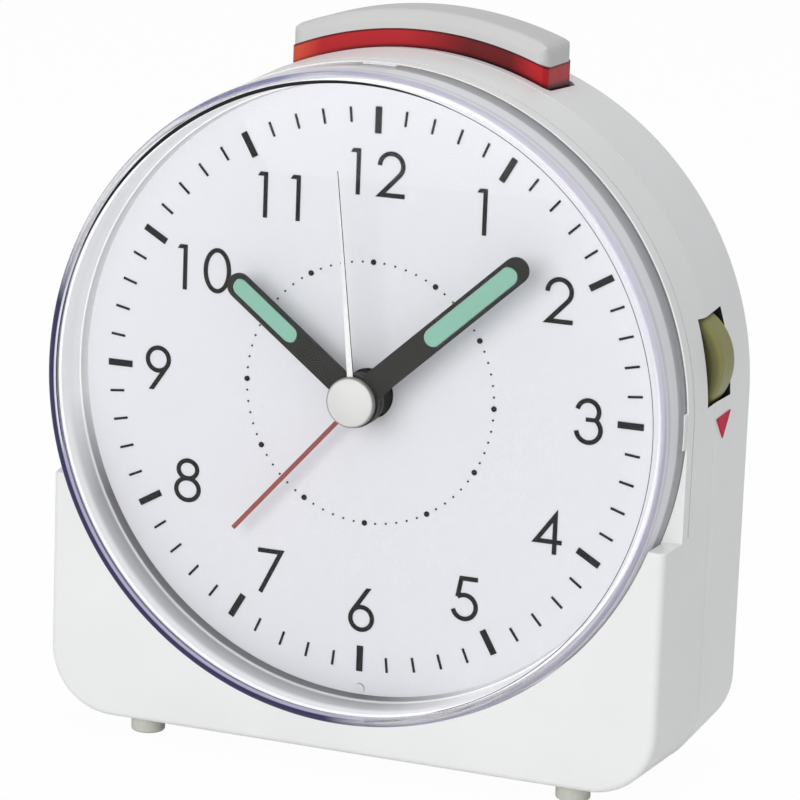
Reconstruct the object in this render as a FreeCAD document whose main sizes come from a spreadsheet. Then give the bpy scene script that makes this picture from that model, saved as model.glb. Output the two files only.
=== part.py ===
import FreeCAD, Part
import math
import os
import Sketcher

# A small analogue alarm clock that stands on four rubber feet.
# The housing is a horseshoe in front view: a half circle about the hand axis, on straight sides.
# Every part is drawn around the middle of the dial, with its face at level 0.
# Levels count backwards from the face, x to the right and z upwards. All sizes are in mm.

os.makedirs("parts", exist_ok=True)
doc = FreeCAD.newDocument("alarm_clock")
sheet = doc.addObject("Spreadsheet::Sheet", "Sizes")
vec = FreeCAD.Vector
rule = Sketcher.Constraint

SIZES = {
    # Place of the dial in the whole clock
    "dial_height": "=case_bottom + foot_height",
    "dial_forward": 10.5,
    # Housing
    "seam_level": 9.2,
    "rear_level": 29.5,
    "block_front": 5.8,
    "seam_radius": 44.0,
    "block_half_width": "=seam_radius - block_draft",
    "block_draft": 1.05,
    "rear_radius": "=seam_radius - rear_taper",
    "rear_taper": 0.7,
    "case_bottom": "=seam_radius + floor_drop",
    "floor_drop": 3.6,
    "foot_height": 2.7,
    "corner_radius": 8.8,
    "rear_edge_round": 3.5,
    "ledge_depth": "=case_bottom - block_height",
    "block_height": 32.9,
    "block_edge_round": 0.9,
    "wall": 1.8,
    "inner_radius": "=seam_radius - side_wall",
    "side_wall": 2.5,
    "inner_floor": "=case_bottom - wall",
    "inner_corner": 7.0,
    "flange_back": 2.2,
    "flange_opening": "=dial_radius - dial_seat",
    # Lens, ring and dial
    "lens_front": 8.5,
    "lens_plate": 1.5,
    "lens_front_radius": "=lens_back_radius - lens_draft",
    "lens_back_radius": "=seam_radius - lens_inset",
    "lens_inset": 0.8,
    "lens_draft": 0.25,
    "lens_wall": 1.15,
    "lens_inner_radius": "=lens_back_radius - lens_wall",
    "lens_round": 1.1,
    "lens_gap": 0.3,
    "lug_width": 4.5,
    "lug_height": 1.2,
    "lug_thickness": 0.75,
    "notch_gap": 0.15,
    "ring_front": 6.4,
    "ring_step": 1.65,
    "ring_outer": "=lens_inner_radius - ring_gap",
    "ring_gap": 0.1,
    "ring_foot_width": 0.95,
    "ring_step_width": 0.75,
    "ring_cone_width": 0.55,
    "ring_lip_width": 0.3,
    "ring_inner": "=ring_outer - ring_foot_width",
    "ring_step_inner": "=ring_outer - ring_step_width",
    "ring_cone_start": "=ring_outer - ring_cone_width",
    "ring_cone_end": "=ring_outer - ring_lip_width",
    "dial_thickness": 0.8,
    "dial_radius": "=ring_outer + dial_lap",
    "dial_lap": 0.35,
    "dial_seat": 5.8,
    "dial_bore_gap": 0.2,
    "dial_hole": "=alarm_tube_outer + 0.2",
    # Printed marks, slightly raised
    "print_height": 0.12,
    "hour_mark_radius": "=dial_radius - hour_mark_inset",
    "hour_mark_inset": 6.22,
    "hour_mark_length": 3.5,
    "hour_mark_width": 0.88,
    "tick_radius": "=dial_radius - tick_inset",
    "tick_inset": 5.6,
    "tick_length": 2.0,
    "tick_width": 0.31,
    "alarm_ring_radius": "=dial_radius * 0.413",
    "large_dot_radius": 0.37,
    "small_dot_radius": 0.13,
    # Feet
    "foot_radius": 2.3,
    "foot_x": "=seam_radius - 13.4",
    "foot_front_level": 0.6,
    "foot_rear_level": "=rear_level - 6.5",
    # Case screws
    "boss_radius": 3.0,
    "upper_boss_x": "=(inner_radius - 2.6) * 0.6941",
    "upper_boss_z": "=(inner_radius - 2.6) * 0.7198",
    "lower_boss_x": "=seam_radius - 8",
    "lower_boss_z": "=case_bottom - 7.6",
    "screw_radius": 1.2,
    "screw_fit": 0.03,
    "screw_passage": 1.4,
    "screw_head_radius": 2.2,
    "screw_head_height": 2.0,
    "screw_seat": "=rear_level - 7.5",
    "screw_tip": 4.0,
    "screw_well": 2.5,
    # Alarm thumb wheel in the right wall
    "thumb_x": "=seam_radius - thumb_inset",
    "thumb_inset": 6.9,
    "thumb_z": "=thumb_x * 6.5 / 37.1",
    "thumb_radius": 8.2,
    "thumb_front": 8.2,
    "thumb_back": 15.7,
    "thumb_round": 0.9,
    "thumb_sleeve": 1.9,
    "thumb_sleeve_back": 16.0,
    "thumb_gap": 0.4,
    "slot_front": 6.6,
    "slot_back": 17.2,
    "slot_bottom": "=thumb_z - 5.95",
    "slot_top": "=thumb_z + 6.2",
    "axle_radius": 1.0,
    "axle_front": 1.0,
    "axle_back": 18.0,
    "axle_boss_radius": 2.4,
    "axle_boss_front": 16.2,
    "triangle_front": 9.9,
    "triangle_back": 16.6,
    "triangle_top": "=0.85 - slot_bottom",
    "triangle_tip": "=triangle_top + 3.1",
    "triangle_thickness": 0.15,
    "rear_draft": "=atan(rear_taper / (rear_level - seam_level)) / 1 deg",
    # Snooze and light button
    "button_half_width": 18.0,
    "button_front": 12.1,
    "button_back": 22.0,
    "button_crown": "=skirt_top + 2.5",
    "skirt_top": "=seam_radius + 2.3",
    "skirt_bottom": "=seam_radius - 4.4",
    "button_gap": 0.6,
    "button_corner": 2.0,
    "button_round": 1.7,
    "button_travel": 1.5,
    "button_flange": 1.3,
    "flange_top_radius": "=inner_radius - 0.5",
    "spring_x": 12.0,
    "spring_cup_radius": 2.6,
    "spring_cup_bottom": "=skirt_bottom - 3.1",
    "push_rod_radius": 1.6,
    "push_rod_bottom": "=skirt_bottom - 2.6",
    "shelf_bottom": "=skirt_bottom - 9.1",
    "shelf_thickness": 1.5,
    "shelf_half_width": 20.0,
    "shelf_front": 12.0,
    "spring_radius": 1.8,
    "spring_wire": 0.25,
    "spring_turns": 3.0,
    "snooze_switch_half": 3.0,
    "snooze_switch_height": 2.6,
    "snooze_plunger_radius": 1.2,
    "snooze_plunger_top": "=push_rod_bottom - 1.7",
    # Battery bay and door
    "cell_radius": 7.25,
    "cell_half_length": 24.75,
    "cell_nub_radius": 2.6,
    "cell_nub_length": 1.0,
    "cell_level": "=rear_level - 9.7",
    "cell_depth": "=case_bottom - 12.9",
    "bay_half_width": "=bay_inner_half + wall",
    "bay_top": "=case_bottom - 23.4",
    "bay_front": "=rear_level - 18.7",
    "bay_inner_front": "=bay_front + 1.5",
    "contact_room": 2.95,
    "bay_inner_half": "=cell_half_length + cell_nub_length / 2 + contact_room",
    "bay_inner_top": "=bay_top + 2.9",
    "bay_inner_bottom": "=case_bottom - 3.9",
    "door_half_width": "=bay_inner_half - door_gap",
    "door_top": "=case_bottom - 21.7",
    "door_bottom": "=case_bottom - 3.6",
    "door_gap": 0.2,
    "door_pin_radius": 0.5,
    "door_pin_length": 1.1,
    "door_pin_gap": 0.1,
    "grip_half_width": 7.0,
    "grip_height": 3.0,
    "grip_depth": 0.7,
    "contact_thickness": 0.4,
    "contact_half_width": 5.0,
    "contact_cone_radius": 4.0,
    # Buttons and switch in the rear wall
    "key_radius": 2.5,
    "key_gap": 0.2,
    "key_x": "=board_half_width - 4",
    "set_key_z": "=movement_half_height * 2 / 22",
    "receive_key_z": "=movement_half_height * 7 / 22",
    "reset_key_z": "=movement_half_height * 16 / 22",
    "key_face": "=rear_level - 0.2",
    "key_flange_radius": 3.2,
    "key_flange_front": "=key_flange_back - 0.9",
    "key_flange_back": "=rear_level - wall - 0.2",
    "key_stem_radius": 1.2,
    "key_stem_end": 22.4,
    "key_switch_half": 3.0,
    "key_switch_back": 20.9,
    "key_plunger_back": 21.5,
    "slider_x": 17.0,
    "slider_z": 6.0,
    "slider_travel": 4.0,
    "slider_knob_half": 1.8,
    "slider_knob_height": 2.3,
    "slider_stem_height": 1.0,
    "slider_plate_half": 4.0,
    "slider_plate_height": 2.5,
    "slider_recess": 1.0,
    "slider_gap": 0.2,
    "sound_hole_radius": 0.8,
    "sound_ring_radius": 4.0,
    "buzzer_z": 12.0,
    "buzzer_radius": 8.0,
    "buzzer_front": "=buzzer_back - 3.9",
    "buzzer_back": "=rear_level - 2.1",
    # Radio antenna
    "rod_x": "=inner_radius - 10",
    "rod_level": 11.0,
    "rod_radius": 3.0,
    "rod_half_length": "=bay_top - 6.2",
    "cradle_z": "=rod_half_length - 3",
    "cradle_half": 2.0,
    "cradle_gap": 0.05,
    "winding_radius": 4.2,
    "winding_half_length": "=rod_half_length - 8",
    # Movement case and circuit board
    "movement_half_width": "=inner_radius - 15.5",
    "movement_half_height": "=bay_top - 2.2",
    "movement_front": 4.6,
    "movement_plate": 1.2,
    "movement_back": 15.0,
    "movement_post_x": "=movement_half_width - 3",
    "movement_post_z": "=movement_half_height - 2.5",
    "movement_post_radius": 1.5,
    "board_half_width": "=min(movement_half_width - 3; upper_boss_x - boss_radius - 1)",
    "board_bottom": "=movement_half_height - 2",
    "board_top": "=inner_radius - 12.4",
    "board_front": 17.4,
    "board_thickness": 1.6,
    "chip_x": 2.0,
    "chip_z": "=0 - movement_half_height * 12 / 22",
    "chip_side": 8.0,
    "chip_height": 1.4,
    "crystal_x": -10.0,
    "crystal_z": "=0 - movement_half_height * 12 / 22",
    "crystal_radius": 1.0,
    "crystal_length": 7.0,
    "standoff_x": "=movement_half_width - 6",
    "standoff_z": "=movement_half_height - 5",
    # Hands and their tubes
    "arbor_radius": "=0.5 * wheel_scale",
    "minute_tube_inner": "=0.58 * wheel_scale",
    "minute_tube_outer": "=1.2 * wheel_scale",
    "hour_tube_inner": "=1.3 * wheel_scale",
    "hour_tube_outer": "=2.2 * wheel_scale",
    "alarm_tube_inner": "=2.3 * wheel_scale",
    "alarm_tube_outer": "=3.2 * wheel_scale",
    "hand_fit": 0.02,
    "hub_radius": "=3.5 * wheel_scale",
    "alarm_hand_front": 3.0,
    "alarm_hand_back": 2.5,
    "alarm_hand_width": 0.6,
    "alarm_hand_reach": "=dial_radius - 15.8",
    "alarm_hand_angle": 221.8,
    "hour_hub_front": 4.4,
    "hour_hub_back": 3.3,
    "hour_hand_level": 4.0,
    "hour_hand_reach": "=dial_radius - 19.0",
    "hour_hand_angle": 307.5,
    "hour_lume_start": 11.3,
    "hour_lume_end": "=hour_hand_reach - 0.9",
    "hour_lume_width": 2.2,
    "minute_hub_front": 5.5,
    "minute_hub_back": 4.6,
    "minute_hand_level": 5.1,
    "minute_hand_reach": "=dial_radius - 11.7",
    "minute_hand_angle": 47.9,
    "minute_lume_start": 13.0,
    "minute_lume_end": "=minute_hand_reach - 1.8",
    "minute_lume_width": 2.4,
    "hand_width": 3.5,
    "hand_thickness": 0.4,
    "lume_thickness": 0.3,
    "lume_gap": 0.05,
    "second_hand_front": 5.95,
    "second_hand_back": 5.7,
    "second_hub_radius": 1.6,
    "second_hand_reach": "=dial_radius - 12.3",
    "second_hand_root": 1.0,
    "second_hand_tip": 0.35,
    "second_hand_angle": 354.0,
    "cap_front": 6.7,
    "cap_radius": 3.33,
    "cap_round": 0.35,
    # Wheels of the movement
    "fine_module": "=0.25 * wheel_scale",
    "wheel_scale": "=min(movement_half_height / 22; movement_half_width / 26)",
    "hour_module": "=0.24 * wheel_scale",
    "wheel_hub": "=0.85 * wheel_scale",
    "alarm_module": "=thumb_x / 74.2",
    "backlash": 0.12,
    "pivot_radius": "=0.4 * wheel_scale",
    "pivot_gap": 0.06,
    "stud_radius": "=0.5 * wheel_scale",
    "idler_stud_radius": 1.0,
    "pivot_front": 5.0,
    "pivot_back": 15.6,
    "magnet_radius": "=2.5 * wheel_scale",
    "stator_hole": "=2.9 * wheel_scale",
    "stator_thickness": 0.8,
    "stator_near": "=7.0 * wheel_scale",
    "stator_far": "=24.0 * wheel_scale",
    "stator_limb_half": "=3.2 * wheel_scale",
    "stator_window_near": "=3.6 * wheel_scale",
    "stator_window_far": "=7.0 * wheel_scale",
    "stator_outer": "=9.6 * wheel_scale",
    "stator_side": "=3 * wheel_scale",
    "stator_peg_radius": "=0.9 * wheel_scale",
    "stator_peg_far": "=22.5 * wheel_scale",
    "stator_peg_near": "=8.4 * wheel_scale",
    "coil_radius": "=min(2.5 * wheel_scale; 2.7)",
    "coil_near": "=10.4 * wheel_scale",
    "coil_far": "=20.6 * wheel_scale",
}

TEETH = {
    "thumb_teeth": 12,
    "idler_teeth": 46,
    "alarm_teeth": 48,
    "cannon_teeth": 12,
    "motion_teeth": 36,
    "motion_pinion_teeth": 10,
    "hour_teeth": 40,
    "centre_teeth": 60,
    "reduction_pinion_teeth": 10,
    "minute_reduction_teeth": 48,
    "second_reduction_teeth": 40,
    "rotor_teeth": 8,
}


class Term:
    """A number, with the sheet expression that it comes from."""

    def __init__(self, value, text=None):
        self.value = float(value)
        self.text = text or "(%r)" % self.value

    def joined(self, sign, other, value):
        return Term(value, "(%s %s %s)" % (self.text, sign, other.text))

    def __add__(self, other):
        other = term(other)
        return self.joined("+", other, self.value + other.value)

    def __sub__(self, other):
        other = term(other)
        return self.joined("-", other, self.value - other.value)

    def __mul__(self, other):
        other = term(other)
        return self.joined("*", other, self.value * other.value)

    def __truediv__(self, other):
        other = term(other)
        return self.joined("/", other, self.value / other.value)

    def __neg__(self):
        return Term(-self.value, "(0 - %s)" % self.text)

    def __rsub__(self, other):
        return term(other) - self

    def __radd__(self, other):
        return term(other) + self


def term(value):
    return value if isinstance(value, Term) else Term(value)


class SheetTerms:
    """Reads a named value of the sheet as a Term."""

    def __getattr__(self, name):
        return Term(sheet.get(name), "Sizes." + name)


def fill_sheet():
    """Writes all sizes. Those that start with = follow from the others."""
    rows = list(enumerate(SIZES.items(), start=1))
    for row, (name, value) in rows:
        sheet.set("A%d" % row, name)
        sheet.set("B%d" % row, "1" if str(value).startswith("=") else str(value))
        sheet.setAlias("B%d" % row, name)
    doc.recompute()
    for row, (name, value) in rows:
        if str(value).startswith("="):
            sheet.set("B%d" % row, value)
    doc.recompute()


fill_sheet()
of = SheetTerms()
nodes = []


def node(item, angle=None):
    """Keeps item as a part of the clock and moves it to its place in the whole."""
    if angle is not None:
        item.Placement = FreeCAD.Placement(vec(), FreeCAD.Rotation(vec(0, 1, 0), 0))
        item.setExpression("Placement.Rotation.Angle", angle.text)
    item.setExpression("Placement.Base.y", "0 - Sizes.dial_forward")
    item.setExpression("Placement.Base.z", "Sizes.dial_height")
    nodes.append(item)
    return item


# Sketch helpers

PLANE_SIGN = {"XY": 1.0, "XZ": -1.0, "YZ": 1.0}


def new_body(label):
    item = doc.addObject("PartDesign::Body", label)
    item.Label = label
    return item


def new_sketch(body, plane, level=0.0):
    """A sketch on an origin plane of the body, moved to a level along that plane's axis."""
    level = term(level)
    role = plane + "_Plane"
    support = [entry for entry in body.Origin.OriginFeatures if entry.Role == role][0]
    drawing = body.newObject("Sketcher::SketchObject", body.Label + "_sketch")
    drawing.AttachmentSupport = (support, [""])
    drawing.MapMode = "FlatFace"
    side = level if PLANE_SIGN[plane] > 0 else -level
    drawing.setExpression("AttachmentOffset.Base.z", side.text)
    return drawing


def bound(drawing, kind, *parts):
    """Adds a dimension whose last part is a Term, and ties it to the sheet."""
    size = parts[-1]
    number = drawing.addConstraint(rule(kind, *parts[:-1], size.value))
    drawing.setExpression("Constraints[%d]" % number, size.text)


def fix_point(drawing, edge, end, x, y):
    for kind, size, axis in (("DistanceX", term(x), -2), ("DistanceY", term(y), -1)):
        if abs(size.value) < 1e-9:
            drawing.addConstraint(rule("PointOnObject", edge, end, axis))
        else:
            bound(drawing, kind, edge, end, size)


def add_loop(drawing, points):
    """A closed polygon with every corner tied to its own two values."""
    first = drawing.GeometryCount
    count = len(points)
    flat = [vec(term(x).value, term(y).value, 0) for x, y in points]
    for i in range(count):
        drawing.addGeometry(Part.LineSegment(flat[i], flat[(i + 1) % count]), False)
    for i in range(count):
        drawing.addConstraint(rule("Coincident", first + i, 2, first + (i + 1) % count, 1))
    for i, (x, y) in enumerate(points):
        fix_point(drawing, first + i, 1, x, y)


def add_rectangle(drawing, x0, x1, y0, y1):
    add_loop(drawing, [(x0, y0), (x1, y0), (x1, y1), (x0, y1)])


def add_circle(drawing, x, y, radius):
    radius = term(radius)
    middle = vec(term(x).value, term(y).value, 0)
    edge = drawing.addGeometry(Part.Circle(middle, vec(0, 0, 1), radius.value), False)
    fix_point(drawing, edge, 3, x, y)
    bound(drawing, "Radius", edge, radius)


def add_horseshoe(drawing, radius, floor, corner):
    """Half circle about the dial axis, straight sides, two round lower corners."""
    r, f, c = radius.value, floor.value, corner.value
    left = vec(c - r, c - f, 0)
    right = vec(r - c, c - f, 0)
    up = vec(0, 0, 1)
    shapes = [
        Part.ArcOfCircle(Part.Circle(vec(), up, r), 0, math.pi),
        Part.LineSegment(vec(-r, 0, 0), vec(-r, c - f, 0)),
        Part.ArcOfCircle(Part.Circle(left, up, c), math.pi, 1.5 * math.pi),
        Part.LineSegment(vec(c - r, -f, 0), vec(r - c, -f, 0)),
        Part.ArcOfCircle(Part.Circle(right, up, c), 1.5 * math.pi, 2 * math.pi),
        Part.LineSegment(vec(r, c - f, 0), vec(r, 0, 0)),
    ]
    for shape in shapes:
        drawing.addGeometry(shape, False)
    for i in range(6):
        drawing.addConstraint(rule("Tangent", i, 2, (i + 1) % 6, 1))
    drawing.addConstraint(rule("Coincident", 0, 3, -1, 1))
    drawing.addConstraint(rule("Equal", 2, 4))
    drawing.addConstraint(rule("Vertical", 1))
    drawing.addConstraint(rule("Horizontal", 3))
    drawing.addConstraint(rule("Vertical", 5))
    bound(drawing, "Radius", 0, radius)
    bound(drawing, "Radius", 2, corner)
    bound(drawing, "DistanceY", 3, 1, -floor)


def add_arched_band(drawing, half_width, inner, outer):
    """A band between two arcs about the dial axis, cut off by two upright lines."""
    w = half_width.value
    up = vec(0, 0, 1)
    heights = []
    for radius in (outer.value, inner.value):
        start = math.acos(w / radius)
        arc = Part.ArcOfCircle(Part.Circle(vec(), up, radius), start, math.pi - start)
        drawing.addGeometry(arc, False)
        heights.append(math.sqrt(radius * radius - w * w))
    top, low = heights
    drawing.addGeometry(Part.LineSegment(vec(w, low, 0), vec(w, top, 0)), False)
    drawing.addGeometry(Part.LineSegment(vec(-w, low, 0), vec(-w, top, 0)), False)
    for arc in (0, 1):
        drawing.addConstraint(rule("Coincident", arc, 3, -1, 1))
    for line, end, arc, arc_end in ((2, 1, 1, 1), (2, 2, 0, 1), (3, 1, 1, 2), (3, 2, 0, 2)):
        drawing.addConstraint(rule("Coincident", line, end, arc, arc_end))
    drawing.addConstraint(rule("Vertical", 2))
    drawing.addConstraint(rule("Vertical", 3))
    bound(drawing, "Radius", 0, outer)
    bound(drawing, "Radius", 1, inner)
    bound(drawing, "DistanceX", 2, 1, half_width)
    bound(drawing, "DistanceX", 3, 1, -half_width)


def add_bar(drawing, width, start, end):
    """An upright bar with two round ends, between two radii from the dial axis."""
    r = width.value / 2
    low, high = start.value + r, end.value - r
    up = vec(0, 0, 1)
    drawing.addGeometry(Part.ArcOfCircle(Part.Circle(vec(0, high, 0), up, r), 0, math.pi), False)
    drawing.addGeometry(Part.LineSegment(vec(-r, high, 0), vec(-r, low, 0)), False)
    lower = Part.ArcOfCircle(Part.Circle(vec(0, low, 0), up, r), math.pi, 2 * math.pi)
    drawing.addGeometry(lower, False)
    drawing.addGeometry(Part.LineSegment(vec(r, low, 0), vec(r, high, 0)), False)
    for i in range(4):
        drawing.addConstraint(rule("Tangent", i, 2, (i + 1) % 4, 1))
    drawing.addConstraint(rule("PointOnObject", 0, 3, -2))
    drawing.addConstraint(rule("PointOnObject", 2, 3, -2))
    drawing.addConstraint(rule("Equal", 0, 2))
    bound(drawing, "Radius", 0, width / 2)
    bound(drawing, "DistanceY", 0, 3, end - width / 2)
    if low > 1e-6 or low < -1e-6:
        bound(drawing, "DistanceY", 2, 3, start + width / 2)


# Feature helpers

def add_pad(body, drawing, length, both=False):
    item = body.newObject("PartDesign::Pad", body.Label + "_pad")
    item.Profile = drawing
    item.setExpression("Length", term(length).text)
    item.Midplane = both
    return item


def add_pocket(body, drawing, length, both=False):
    item = body.newObject("PartDesign::Pocket", body.Label + "_pocket")
    item.Profile = drawing
    item.setExpression("Length", term(length).text)
    item.Midplane = both
    return item


def turn_around(body, drawing, cutting=False):
    kind = "PartDesign::Groove" if cutting else "PartDesign::Revolution"
    item = body.newObject(kind, body.Label + "_turned")
    item.Profile = drawing
    item.ReferenceAxis = (drawing, ["V_Axis"])
    item.Angle = 360
    return item


def add_fillet(body, radius, test):
    """Rounds the edges of the body whose sample points all pass the test."""
    doc.recompute()
    last = body.Tip
    names = []
    for i, edge in enumerate(last.Shape.Edges, start=1):
        first, end = edge.ParameterRange
        samples = [edge.valueAt(first + (end - first) * k / 4) for k in range(5)]
        if all(test(point) for point in samples):
            names.append("Edge%d" % i)
    item = body.newObject("PartDesign::Fillet", body.Label + "_round")
    item.Base = (last, names)
    item.setExpression("Radius", term(radius).text)
    doc.recompute()
    print(body.Label, "round edges", len(names))
    return item


def near(a, b, slack=0.02):
    return abs(a - b) < slack


# Helpers for plain pieces

def block(name, x0, x1, y0, y1, z0, z1):
    item = doc.addObject("Part::Box", name)
    for axis, side, low, high in (("x", "Length", x0, x1), ("y", "Width", y0, y1),
                                  ("z", "Height", z0, z1)):
        low, high = term(low), term(high)
        item.setExpression(side, (high - low).text)
        item.setExpression("Placement.Base." + axis, low.text)
    return item


TURNS = {"x": (vec(0, 1, 0), 90), "y": (vec(1, 0, 0), -90), "z": (vec(0, 0, 1), 0)}


def bar(name, axis, x, y, z, radius, length):
    """A round bar that starts at x, y, z and runs along the axis."""
    item = doc.addObject("Part::Cylinder", name)
    item.Placement = FreeCAD.Placement(vec(), FreeCAD.Rotation(*TURNS[axis]))
    item.setExpression("Radius", term(radius).text)
    item.setExpression("Height", term(length).text)
    for key, value in (("x", x), ("y", y), ("z", z)):
        item.setExpression("Placement.Base." + key, term(value).text)
    return item


def fuse(label, shapes):
    item = doc.addObject("Part::MultiFuse", label)
    item.Shapes = shapes
    item.Label = label
    return item


def cut(label, base, tool):
    item = doc.addObject("Part::Cut", label)
    item.Base = base
    item.Tool = tool
    item.Label = label
    return item


def gather(label, shapes):
    item = doc.addObject("Part::Compound", label)
    item.Links = shapes
    item.Label = label
    return item


def made(label, shape):
    """A part whose shape is worked out in code from the values of the sheet."""
    item = doc.addObject("Part::Feature", label)
    item.Shape = shape
    item.Label = label
    return node(item)


# Housing

def housing_outline(body, level_front, half_front, level_back, half_back):
    """A cone about the dial axis, with straight drafted sides from its middle down."""
    ring = new_sketch(body, "XY")
    add_loop(ring, [(0, level_front), (half_front, level_front), (half_back, level_back),
                    (0, level_back)])
    turn_around(body, ring)
    plan = new_sketch(body, "XY", -of.case_bottom)
    add_loop(plan, [(-half_front, level_front), (half_front, level_front),
                    (half_back, level_back), (-half_back, level_back)])
    add_pad(body, plan, of.case_bottom)
    floor = -of.case_bottom.value
    add_fillet(body, of.corner_radius, lambda p: near(p.z, floor) and abs(p.x) > half_front.value - 1)


def boss_centres():
    return [
        (of.upper_boss_x, of.upper_boss_z),
        (-of.upper_boss_x, of.upper_boss_z),
        (of.lower_boss_x, -of.lower_boss_z),
        (-of.lower_boss_x, -of.lower_boss_z),
    ]


def build_front_housing():
    body = new_body("front_housing")
    housing_outline(body, -of.block_front, of.block_half_width, of.seam_level, of.seam_radius)
    front = -of.block_front.value
    add_fillet(body, of.block_edge_round, lambda p: near(p.y, front))
    upper = new_sketch(body, "XZ", -of.block_front)
    add_rectangle(upper, -60, 60, -of.ledge_depth, 60)
    add_pocket(body, upper, of.block_front)
    seat = new_sketch(body, "XY")
    add_loop(seat, [(0, -of.block_front), (of.lens_front_radius + of.lens_gap, -of.block_front),
                    (of.lens_back_radius + of.lens_gap, 0), (0, 0)])
    turn_around(body, seat, cutting=True)
    bore = new_sketch(body, "XZ", 0)
    add_circle(bore, 0, 0, of.dial_radius + of.dial_bore_gap)
    add_pocket(body, bore, of.dial_thickness)
    opening = new_sketch(body, "XZ", of.dial_thickness)
    add_circle(opening, 0, 0, of.flange_opening)
    add_pocket(body, opening, of.flange_back)
    hollow = new_sketch(body, "XZ", of.flange_back)
    add_horseshoe(hollow, of.inner_radius, of.inner_floor, of.inner_corner)
    add_pocket(body, hollow, of.seam_level - of.flange_back)
    bosses = new_sketch(body, "XZ", of.seam_level)
    for x, z in boss_centres():
        add_circle(bosses, x, z, of.boss_radius)
    add_pad(body, bosses, of.seam_level - of.flange_back + 0.2)
    holes = new_sketch(body, "XZ", of.screw_tip - 0.5)
    for x, z in boss_centres():
        add_circle(holes, x, z, of.screw_radius + of.screw_fit)
    add_pocket(body, holes, of.seam_level)
    slot = new_sketch(body, "YZ", 60)
    add_rectangle(slot, of.slot_front, of.seam_level + 1, of.slot_bottom, of.slot_top)
    add_pocket(body, slot, 60 - of.thumb_x)
    relief = new_sketch(body, "XZ", of.thumb_front - of.thumb_gap)
    add_circle(relief, of.thumb_x, of.thumb_z, of.thumb_radius + of.thumb_gap)
    add_pocket(body, relief, of.seam_level)
    axle = new_sketch(body, "XZ", of.axle_front)
    add_circle(axle, of.thumb_x, of.thumb_z, of.axle_radius + of.hand_fit)
    add_pocket(body, axle, of.flange_back)
    lugs = new_sketch(body, "XZ", 0.4)
    half = of.lug_width / 2
    outer = of.lens_back_radius
    inner = outer - of.lug_thickness
    add_rectangle(lugs, -half, half, inner, outer)
    add_rectangle(lugs, inner, outer, -half, half)
    add_rectangle(lugs, -outer, -inner, -half, half)
    add_rectangle(lugs, -half, half, -outer, -inner)
    add_pad(body, lugs, of.lug_height + 0.4)
    return node(body)


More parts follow.
